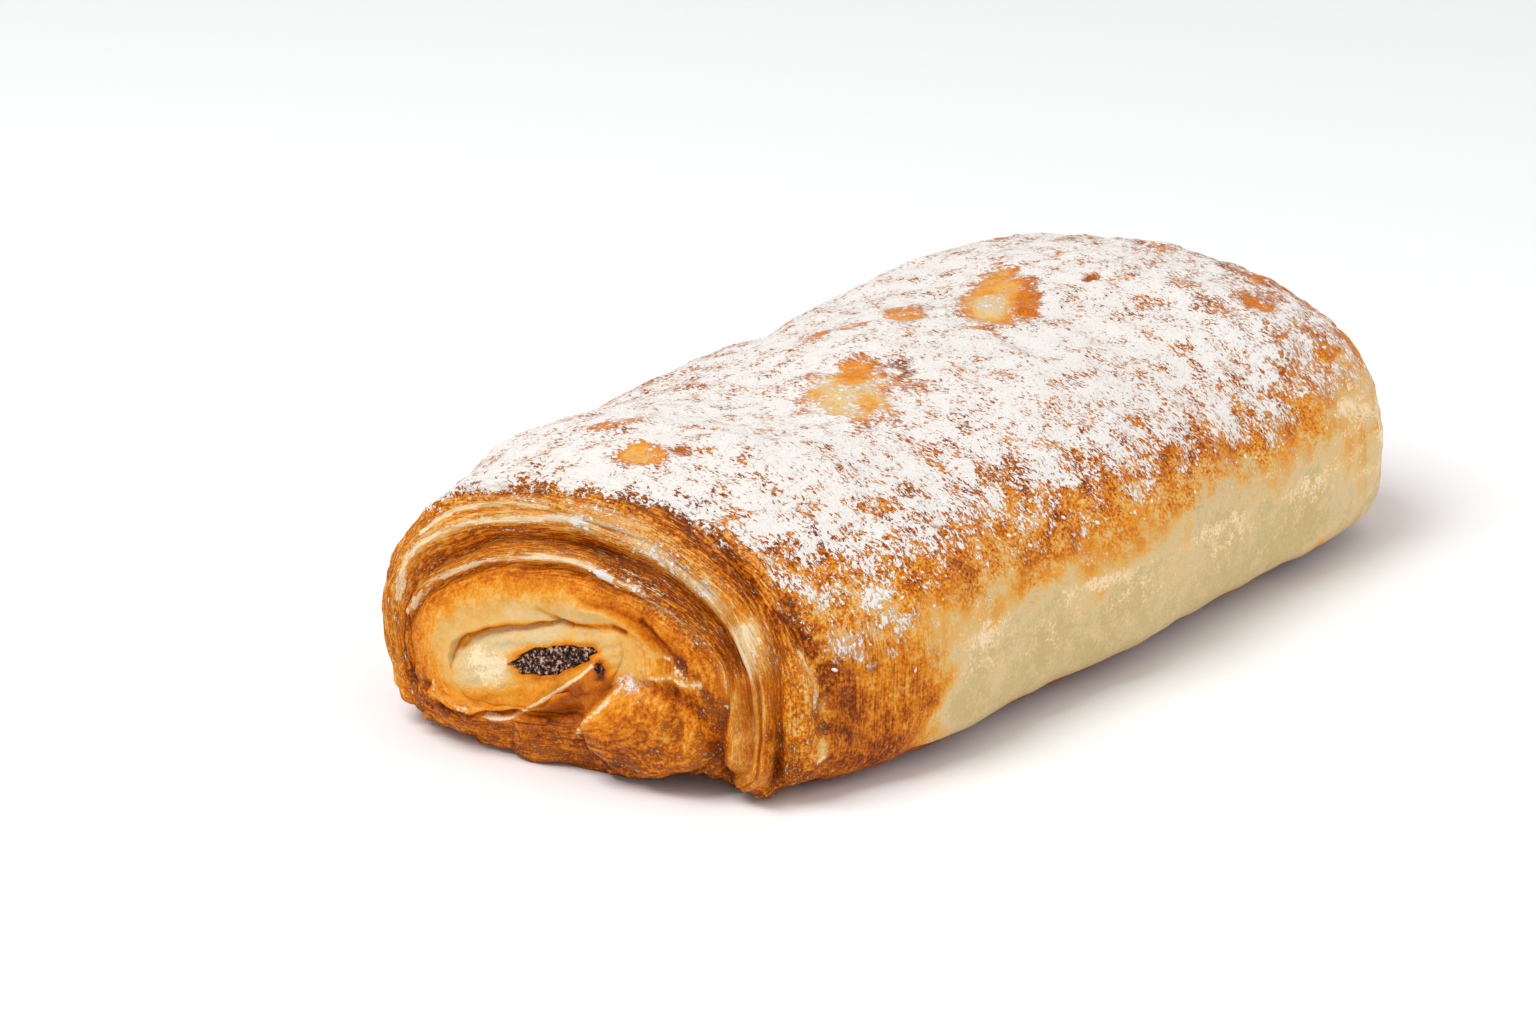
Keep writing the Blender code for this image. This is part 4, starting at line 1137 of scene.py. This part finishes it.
# %% Rings of the core
core_rings, core_shares, core_sides = [], [], []
for side, shares in ((-1, face_shares), (1, face_shares[::-1])):
    edge_rise = np.interp(core_angle, angle, rise[edge_row if side < 0 else -1 - edge_row], period=TURN)
    outer = oval(EYE_CENTRE, CORE_HALF, CORE_TILT, core_angle, spill * mm if side < 0 else FAR_SPILL)
    inner = dark_oval(core_angle, -0.1 * mm)
    for core_share in shares:
        y = inner[0] + (outer[0] - inner[0]) * core_share
        z = inner[1] + (outer[1] - inner[1]) * core_share
        recess = LIP_DEPTH * under_lip * smooth((core_share - 0.45) / 0.55)
        recess -= CORE_BULGE * (1.0 - core_share)
        open_edge = (1.0 - under_lip) * smooth(core_share / 0.7)
        recess += (0.45 * smooth((core_share - 0.86) / 0.14) - 0.12 - edge_rise) * mm * open_edge
        x = face_x(side, y, z, 0.0) - side * recess
        rings = [np.stack([x, y, z], axis=-1)]
        if core_share == 1.0:
            inside = oval(EYE_CENTRE, CORE_HALF, CORE_TILT, core_angle, 0.1 * mm)
            rings.insert(1 if side < 0 else 0, np.stack([x - side * TUCK, *inside], axis=-1))
        core_rings += rings
        core_shares += [np.full_like(y, core_share)] * len(rings)
        core_sides += [np.full_like(y, side)] * len(rings)
print("rings of the core:", len(core_rings))

# %% [markdown]
# ## The face of the cheese
#
# The cheese has soft layers that run sideways, and the strokes that cross from the dough go on over it. It
# is cream at the top and browned low down, round the dark filling and below the ridge that crosses it, and
# under the dough's lip it is darkened with painted shade. The same attributes as on the crust carry this:
# `bake`, `pale`, and `bits` where dark bits lie.

# %% Layers of the cheese
LAYER_RISE, LAYER_LENGTH, LAYER_WIDTH, LAYER_SEED = 0.07, 22.0, 1.7, 51         # all but the seed in mm
CURD_RISE, CURD_SIZE, CURD_SEED = 0.06, 2.4 * mm, 52

core_grid = np.array(core_rings)
core_share = np.array(core_shares)
core_side = np.array(core_sides)
core_near = core_side < 0.0
core_y = core_grid[..., 1] - EYE_CENTRE[0]
core_z = core_grid[..., 2] - EYE_CENTRE[1]
along_core = core_y * np.cos(CORE_TILT) - core_z * np.sin(CORE_TILT)
up_core = core_z * np.cos(CORE_TILT) + core_y * np.sin(CORE_TILT)
layers = LAYER_RISE * strands(along_core / mm, up_core / mm, LAYER_LENGTH, LAYER_WIDTH, LAYER_SEED)
layers = layers + CURD_RISE * waves(core_grid, CURD_SIZE, CURD_SEED)
for height, half_mm, path in STROKE_RISE:
    layers = layers + height * core_near * stroke(core_grid, half_mm, path)
core_grid[..., 0] += core_side * layers * mm * smooth((1.0 - core_share) / 0.1)
print("relief of the cheese from", layers.min().round(2), "to", layers.max().round(2), "mm")

# %% Browning of the cheese, and painted shade under the lip
TAIL_LINE = ((-5.1, 16.1), (-0.6, 11.6), (2.9, 8.8), (7.0, 6.1))        # y and z of the ridge across it
BELOW_TAIL_BAKE = 0.68

low = smooth((-up_core / mm - 0.8) / 3.0)
core_bake_and_shade = 0.17 + 0.34 * low + 0.36 * bell(core_share / 0.16)
core_bake_and_shade += 0.12 * smooth((-along_core / mm - 3.0) / 6.0)
core_bake_and_shade += 0.10 * layers + 0.10 * smooth((along_core / mm - 9.0) / 3.0)
# Painted shade under the dough's lip: the cheese's rim is darkened to orange-brown at its edge and to khaki
# a little further in.
core_rim_shade = 0.36 * smooth((core_share - 0.84) / 0.1) - 0.10 * bell((core_share - 0.68) / 0.14)
core_bake_and_shade += under_lip * core_rim_shade
core_y_mm, core_z_mm = core_grid[..., 1] / mm, core_grid[..., 2] / mm
below_tail = smooth((np.interp(core_y_mm, *zip(*TAIL_LINE)) - core_z_mm) / 0.5 - 0.3)
below_tail *= smooth((core_y_mm + 7.0) / 2.5) * core_near
core_bake_and_shade += (BELOW_TAIL_BAKE - core_bake_and_shade) * below_tail
# The shade strokes also paint the crevice and the mouth's tip onto the cheese.
for target, strength, half_mm, path in STROKE_BAKE_AND_SHADE:
    core_bake_and_shade += (target - core_bake_and_shade) * strength * core_near * stroke(core_grid, half_mm, path)
print("bake of the cheese from", core_bake_and_shade.min().round(2), "to", core_bake_and_shade.max().round(2))

# %% Pale places and dark bits
CORE_PALE = ((0.9, 0.26, RIDGE_TAIL[:-1]), (0.64, 2.3, WHITE), (0.56, 1.4, WHITE_LOW))  # as STROKE_PALE

core_pale = core_near * np.maximum.reduce([strength * stroke(core_grid, half_mm, path)
                                           for strength, half_mm, path in CORE_PALE])
core_bits = core_near * smooth(stroke(core_grid, 0.5, DARK_BIT) * 2.0 - 0.6)
core = ring_mesh("cheese_core", core_grid + PLACE, True,
                 {"bake": core_bake_and_shade, "pale": core_pale, "bits": core_bits})
print("core:", 2 * len(core.data.polygons), "triangles")

# %% [markdown]
# ## The dark filling
#
# The dark filling is a coarse paste, proud of the cheese by a fraction of a millimetre. A ragged rod makes
# its body. Grains are scattered over its two ends further below, and `ends` says where they may lie.

# %% Dark paste
DARK_AROUND, DARK_RINGS = 160, 22
DARK_EDGE = 1.2 * mm            # how far its rim falls back into the cheese
DARK_UNEVEN, DARK_LUMP, DARK_SEED = 0.16 * mm, 1.1 * mm, 61

dark_angle = TURN * 0.75 + np.linspace(0.0, TURN, DARK_AROUND, endpoint=False)
dark_shares = np.linspace(0.05, 1.0, DARK_RINGS)
outline_y, outline_z = dark_oval(dark_angle)
dark_rings, dark_ends = [], []
for side, shares in ((-1, dark_shares), (1, dark_shares[::-1])):
    for dark_share in shares:
        y = DARK_CENTRE[0] + (outline_y - DARK_CENTRE[0]) * dark_share
        z = DARK_CENTRE[1] + (outline_z - DARK_CENTRE[1]) * dark_share
        fall = DARK_PROUD * (1.0 - dark_share ** 3) - DARK_EDGE * smooth((dark_share - 0.94) / 0.06)
        ring = np.stack([face_x(side, y, z, 0.0) + side * fall, y, z], axis=-1)
        ring[:, 0] += side * DARK_UNEVEN * waves(ring, DARK_LUMP, DARK_SEED)
        dark_rings.append(ring)
        dark_ends.append(np.full_like(y, smooth((0.97 - dark_share) / 0.1)))
paste = ring_mesh("dark_paste", np.array(dark_rings) + PLACE, False, {"ends": np.array(dark_ends)})
print("dark paste:", len(paste.data.polygons), "faces")

# %% [markdown]
# ## Geometry Nodes: grains and clumps
#
# Grains of filling, and the little clumps in which powdered sugar sticks together, are scattered on a
# surface by one tree. Its inputs are named: how many, how large, how flat, and the seed. An attribute of
# the surface says where they may lie. The tree ends by realizing its instances, so that they are a mesh.

# %% The scatter tree
WOBBLE_RATE = 2600.0            # how fine the noise that dents the grains is, per metre
WOBBLE_SHARE = 0.7              # how deep, as a share of a grain's size


def drawn_number(graph, low, high, seed):
    """A random number for each grain."""
    return graph.node("FunctionNodeRandomValue", {"data_type": "FLOAT"}, {2: low, 3: high, "Seed": seed}, 1)


def scatter_tree(name, attribute, material):
    """Grains laid on a surface, dented, turned at random, and made a mesh."""
    tree, graph, wires = new_tree(name, (
        ("Density", FLOAT, 1.0), ("Spacing", FLOAT, 0.0003), ("Size", FLOAT, 0.0005),
        ("Spread", FLOAT, 0.5), ("Flatness", FLOAT, 0.6), ("Seed", WHOLE, 1)))
    seed = wires["Seed"]
    where = graph.node("GeometryNodeInputNamedAttribute", {"data_type": "FLOAT"}, {"Name": attribute})
    spread = graph.node("GeometryNodeDistributePointsOnFaces", {"distribute_method": "POISSON"},
                        {"Mesh": wires["Geometry"], "Distance Min": wires["Spacing"],
                         "Density Max": wires["Density"], "Density Factor": where, "Seed": seed})
    turn = Wire(graph, spread.socket.node.outputs["Rotation"])
    grain = graph.node("GeometryNodeMeshIcoSphere", {}, {"Radius": 0.5, "Subdivisions": 1})
    size = drawn_number(graph, 1.0 - wires["Spread"], 1.0 + wires["Spread"], seed) * wires["Size"]
    longer = drawn_number(graph, 0.7, 1.6, seed)
    shape = graph.node("ShaderNodeCombineXYZ", {}, {0: size * longer, 1: size, 2: size * wires["Flatness"]})
    spin = drawn_number(graph, 0.0, TURN, seed)
    spun = graph.node("FunctionNodeRotateRotation", {"rotation_space": "LOCAL"},
                      {0: turn, 1: graph.node("ShaderNodeCombineXYZ", {}, {2: spin})})
    placed = graph.node("GeometryNodeInstanceOnPoints", {},
                        {"Points": spread, "Instance": grain, "Rotation": spun, "Scale": shape})
    real = graph.node("GeometryNodeRealizeInstances", {}, {"Geometry": placed})
    place = graph.node("GeometryNodeInputPosition")
    wobble = graph.node("ShaderNodeTexNoise", {"noise_dimensions": "3D"},
                        {"Vector": place, "Scale": WOBBLE_RATE, "Detail": 1.0}, 1)
    push = graph.scaled(graph.vector("SUBTRACT", wobble, (0.5, 0.5, 0.5)), wires["Size"] * WOBBLE_SHARE)
    rough = graph.node("GeometryNodeSetPosition", {}, {"Geometry": real, "Offset": push})
    smooth_faces = graph.node("GeometryNodeSetShadeSmooth", {}, {"Geometry": rough})
    painted = graph.node("GeometryNodeSetMaterial", {}, {"Geometry": smooth_faces, "Material": material})
    return finish_tree(tree, painted)


def scatter(name, surface, attribute, material, values):
    """A new piece: many small bodies scattered on a copy of the surface."""
    piece = bpy.data.objects.new(name, surface.data.copy())
    bpy.context.scene.collection.objects.link(piece)
    finish_nodes(piece, scatter_tree(name, attribute, material), values)
    print(name + ":", len(piece.data.polygons), "faces")
    return piece


print("one tree scatters the grains, the dark bits and the clumps of sugar")

# %% [markdown]
# ## Paint for dough
#
# One ramp holds the colours of baking, from raw cream over gold and orange to dark brown; its darker end
# also paints the shade of grooves and crevices. The shader takes `bake` from the mesh and disturbs it with
# noise of three sizes and with streaks that follow the folds.
# Then it dusts sugar over: noise decides at each spot whether the powder covers, so a dense area keeps
# only thin brown squiggles and a thin one becomes specks.

# %% Colours and a new material
BAKE_COLOURS = (
    (0.00, (0.62, 0.465, 0.21)), (0.15, (0.745, 0.56, 0.30)), (0.31, (0.78, 0.45, 0.12)),
    (0.46, (0.78, 0.295, 0.016)), (0.61, (0.66, 0.180, 0.003)), (0.75, (0.44, 0.098, 0.002)),
    (0.88, (0.25, 0.048, 0.002)), (1.00, (0.14, 0.024, 0.002)),
)
SUGAR_THIN, SUGAR_THICK = (0.76, 0.69, 0.62), (0.87, 0.83, 0.785)
# The lip colours paint the pale lips, flakes and flecks, and with them painted highlights.
LIP_AND_HIGHLIGHT_COLOURS = ((0.20, (0.86, 0.50, 0.15)), (0.85, (0.95, 0.765, 0.49)))


def new_material(name, **constants):
    """A material, its graph, its shader, and the position on the piece."""
    material = bpy.data.materials.new(name)
    material.use_nodes = True
    graph = Graph(material.node_tree)
    shader = material.node_tree.nodes["Principled BSDF"]
    for key, value in constants.items():
        shader.inputs[key.replace("_", " ")].default_value = value
    place = graph.node("ShaderNodeTexCoord", output="Object")
    return material, graph, shader, place


def connect(graph, shader, **wires):
    """Wires to the shader's sockets, by name."""
    for key, wire in wires.items():
        graph.tree.links.new(wire.socket, shader.inputs[key.replace("_", " ")])


print("colours of baking:", len(BAKE_COLOURS))

# %% [markdown]
# ## The cheese's paint, then the crust's
#
# The cheese takes the colours of baking with soft mottling and pale torn edges. The crust takes the same
# colours with streaks and fibres that follow the folds, then the powder on top. Both get their finest
# relief from a Bump node, as it is too fine for the mesh.

# %% Paint for the cheese
def cheese_paint():
    """Browned cheese with painted shade under the lip, pale torn edges and no sugar."""
    material, graph, shader, place = new_material("core_paint", Specular_IOR_Level=0.15)
    blotch = graph.noise(place, 2.0, seed=2, detail=4.0, rough=0.65) - 0.5
    grain = graph.noise(place, 0.42, seed=3, detail=2.0, rough=0.7) - 0.5
    browned_and_shaded = graph.attribute("bake") + blotch * 0.42 + grain * 0.30
    torn_and_highlight = graph.ease(graph.attribute("pale") + 0.10 + blotch * 1.1 + grain * 0.9, 0.34, 0.74)
    colour = graph.blend(torn_and_highlight * 0.85, graph.ramp(browned_and_shaded, BAKE_COLOURS), graph.ramp(torn_and_highlight, LIP_AND_HIGHLIGHT_COLOURS))
    bump = graph.bump(blotch + grain, 0.3 * mm)
    connect(graph, shader, Base_Color=colour, Roughness=0.45 + blotch * 0.3, Normal=bump)
    return material


core.data.materials.append(cheese_paint())
print("paint of the core:", core.data.materials[0].name)


# %% Paint for the crust
def crumb_paint(graph, place, crisp, strandy, wraps):
    """The baked colour below the sugar, with its painted shade and highlights, and the noises that the
    powder and the relief take up again.
    """
    mottle = graph.noise(place, 7.0, seed=1, detail=2.0) - 0.5
    blotch = graph.noise(place, 2.0, seed=2, detail=4.0, rough=0.65) - 0.5
    grain = graph.noise(place, 0.42, seed=3, detail=2.0, rough=0.7) - 0.5
    streak = graph.noise(wraps, (5.0, 0.8, 1.0), seed=5, detail=2.0, rough=0.6) - 0.5
    fibre = graph.noise(wraps, (1.8, 0.22, 1.0), seed=6, detail=2.0, rough=0.6) - 0.5
    browned_and_shaded = (graph.attribute("bake") + mottle * (0.22 + crisp * 0.24) + blotch * (0.32 + crisp * 0.80)
               + grain * (0.16 + crisp * 1.30) + (streak * 0.65 + fibre * 1.75) * strandy)
    torn_and_highlight = graph.attribute("pale") + blotch * 1.0 + grain * 1.2
    torn_and_highlight = graph.ease(torn_and_highlight + (streak + fibre * 1.8) * strandy * 1.2, 0.38, 0.86)
    crumb = graph.blend(torn_and_highlight * 0.92, graph.ramp(browned_and_shaded, BAKE_COLOURS), graph.ramp(torn_and_highlight, LIP_AND_HIGHLIGHT_COLOURS))
    return crumb, blotch, grain, streak + fibre


def crust_paint():
    """Browned dough with painted shade and highlights, streaked along its folds and dusted with sugar."""
    material, graph, shader, place = new_material("crust_paint", Specular_IOR_Level=0.15)
    crisp = graph.attribute("crisp")
    strandy = graph.attribute("strandy")
    wraps = graph.vector("MULTIPLY", graph.node("ShaderNodeUVMap", {"uv_map": "wraps"}), (mm, mm, mm))
    crumb, blotch, grain, fibres = crumb_paint(graph, place, crisp, strandy, wraps)
    broad = graph.noise(place, 3.2, seed=7, detail=3.0, rough=0.6)
    fine = graph.noise(place, (0.40, 0.75, 0.75), seed=8, detail=2.0, rough=0.75, swirl=0.5)
    edge = 0.5 + (0.5 - graph.attribute("sugar")) * 0.26
    field = broad * 0.42 + fine * 0.58
    cover = graph.ease((field - edge) / (0.012 + (1.0 - crisp) * 0.08), -1.0, 1.0)
    powder = graph.ramp(broad * 0.5 + fine * 0.5, ((0.36, SUGAR_THIN), (0.56, SUGAR_THICK)))
    colour = graph.blend(cover, crumb, powder)
    height = grain * (0.4 + crisp * 0.7) + blotch * 0.6 + fibres * strandy * 1.2 + cover * (0.4 + fine)
    bump = graph.bump(height, 0.24 * mm)
    connect(graph, shader, Base_Color=colour, Roughness=0.48 + blotch * 0.3 + cover * 0.42, Normal=bump)
    return material


crust.data.materials.append(crust_paint())
print("paint of the crust:", crust.data.materials[0].name)

# %% [markdown]
# ## Paint for filling and sugar clumps
#
# The filling is nearly black with small moist glints, so its roughness changes from grain to grain, and the
# lightest grains carry a painted glint in their colour. The clumps are the sugar's own colour with a faint
# variation, and rough all over. The scattered pieces are made here too, as each tree sets its material.

# %% Paint for the filling
FILLING_BLACK, FILLING_BROWN = (0.010, 0.003, 0.002), (0.06, 0.022, 0.011)
# The grains' lightest colour is a painted glint.
PASTE_LIGHT, GRAIN_PAINTED_GLINT, BITS_LIGHT = (0.16, 0.07, 0.04), (0.78, 0.47, 0.33), (0.34, 0.14, 0.06)


def filling_paint(name, light):
    """Nearly black, with moist glints, and specks of a lighter colour that on the grains is a painted
    glint.
    """
    material, graph, shader, place = new_material(name, Specular_IOR_Level=0.25)
    spot = graph.noise(place, 0.5, seed=11, detail=3.0, rough=0.65)
    colour = graph.ramp(spot, ((0.42, FILLING_BLACK), (0.52, FILLING_BROWN), (0.61, light)))
    bump = graph.bump(spot, 0.2 * mm)
    connect(graph, shader, Base_Color=colour, Roughness=0.75 - spot * 0.7, Normal=bump)
    return material


paste.data.materials.append(filling_paint("paste_paint", PASTE_LIGHT))
grains = scatter("filling_grains", paste, "ends", filling_paint("grain_paint", GRAIN_PAINTED_GLINT),
                 {"Density": 2.0e7, "Spacing": 0.22 * mm, "Size": 0.40 * mm, "Spread": 0.55,
                  "Flatness": 0.75, "Seed": 3})
bits = scatter("filling_bits", core, "bits", filling_paint("bits_paint", BITS_LIGHT),
               {"Density": 9.0e6, "Spacing": 0.24 * mm, "Size": 0.36 * mm, "Spread": 0.5, "Flatness": 0.7,
                "Seed": 5})


# %% Clumps of sugar
CLUMP_COLOURS = ((0.3, (0.84, 0.79, 0.73)), (0.7, (0.92, 0.89, 0.85)))


def clump_paint():
    """Sugar with a faint variation, rough all over."""
    material, graph, shader, place = new_material("clump_paint")
    shade = graph.noise(place, 1.6, seed=12, detail=2.0)
    connect(graph, shader, Base_Color=graph.ramp(shade, CLUMP_COLOURS), Roughness=0.85 + shade * 0.15)
    return material


clumps = scatter("sugar_clumps", crust, "sugar", clump_paint(),
                 {"Density": 5.0e5, "Spacing": 0.6 * mm, "Size": 0.38 * mm, "Spread": 0.6, "Flatness": 0.5,
                  "Seed": 8})

# %% [markdown]
# ## Camera
#
# The picture was taken from the open end's side with a long lens, a little more than half a metre away.
# The angles and the distance come from the roll's outline in it. The image is 1536 by 1024 pixels.

# %% Camera
IMAGE = (1536, 1024)
FOCAL_PIXELS = 4300.0
SENSOR = 36.0
AZIMUTH, ELEVATION = np.radians(-54.34), np.radians(19.71)
DISTANCE = 563.8 * mm
AIM_HEIGHT = 15.0 * mm
SIDEWAYS, UPWARDS = -17.1 * mm, -2.3 * mm

back = Vector((np.sin(AZIMUTH) * np.cos(ELEVATION), -np.cos(AZIMUTH) * np.cos(ELEVATION),
               np.sin(ELEVATION)))
right = (-back).cross(Vector((0.0, 0.0, 1.0))).normalized()
upward = right.cross(-back)
lens = bpy.data.cameras.new("camera")
lens.sensor_width = SENSOR
lens.lens = FOCAL_PIXELS / IMAGE[0] * SENSOR
lens.clip_start = 0.02
camera = bpy.data.objects.new("camera", lens)
bpy.context.scene.collection.objects.link(camera)
pose = Matrix((right, upward, back)).transposed().to_4x4()
pose.translation = (back * DISTANCE + Vector((0.0, 0.0, AIM_HEIGHT)) + right * SIDEWAYS + upward * UPWARDS
                    + Vector(PLACE))
camera.matrix_world = pose
bpy.context.scene.camera = camera
print("lens:", round(lens.lens, 1), "mm")

# %% [markdown]
# ## Floor and light
#
# A white floor and a white sky keep the shadows soft and open. One large lamp, high up and to the left of
# the open end, gives the form, and a weaker one out to the right keeps the pale wall readable. The floor
# belongs to the stage, so it isn't part of the roll.

# %% Lamps
LAMP_AIM = Vector((0.0, 0.0, 0.02))


def area_lamp(name, place, power_watts, size):
    """A square lamp that looks at the roll; its place and its size are in metres."""
    light = bpy.data.lights.new(name, "AREA")
    light.energy = power_watts
    light.size = size
    lamp = bpy.data.objects.new(name, light)
    turn = (LAMP_AIM - Vector(place)).to_track_quat("-Z", "Y")
    lamp.matrix_world = Matrix.LocRotScale(Vector(place), turn, None)
    bpy.context.scene.collection.objects.link(lamp)
    return lamp


key = area_lamp("key", (-0.40, 0.18, 0.78), power_watts=4.9, size=0.50)
fill = area_lamp("fill", (0.35, -0.75, 0.45), power_watts=1.6, size=0.6)
print("lamps:", key.name, "and", fill.name)

# %% World and floor
SKY_COLOUR, SKY_STRENGTH = (1.0, 1.0, 1.0, 1.0), 0.57
FLOOR_HALF = 3.0                # metres
FLOOR_COLOUR, FLOOR_ROUGHNESS = (0.978, 0.985, 0.988, 1.0), 0.9

world = bpy.data.worlds.new("sky")
world.use_nodes = True
world.node_tree.nodes["Background"].inputs["Color"].default_value = SKY_COLOUR
world.node_tree.nodes["Background"].inputs["Strength"].default_value = SKY_STRENGTH
bpy.context.scene.world = world
bpy.context.scene.view_settings.view_transform = "Standard"

floor_mesh = bpy.data.meshes.new("floor")
floor_mesh.from_pydata([(-FLOOR_HALF, -FLOOR_HALF, 0.0), (FLOOR_HALF, -FLOOR_HALF, 0.0),
                        (FLOOR_HALF, FLOOR_HALF, 0.0), (-FLOOR_HALF, FLOOR_HALF, 0.0)], [], [(0, 1, 2, 3)])
floor = bpy.data.objects.new("floor", floor_mesh)
bpy.context.scene.collection.objects.link(floor)
floor_paint, _, floor_shader, _ = new_material("floor_paint")
floor_shader.inputs["Base Color"].default_value = FLOOR_COLOUR
floor_shader.inputs["Roughness"].default_value = FLOOR_ROUGHNESS
floor_mesh.materials.append(floor_paint)
print("the floor is", 2.0 * FLOOR_HALF, "m wide")

# %% [markdown]
# ## Handing the pieces to the frame
#
# Every piece rides on the roll's one body, and where a piece stands for a solid, that solid is hidden.

# %% Riding, and the solids hidden
for piece, slot_name, node_name in ((crust, "crust", "pastry"), (core, "cheese", "cheese_filling"),
                                    (paste, "filling", "dark_filling"), (grains, "filling", "dark_filling"),
                                    (bits, "filling", "dark_filling"), (clumps, "crust", None)):
    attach(piece, "root")
    if node_name:
        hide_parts(node_name)
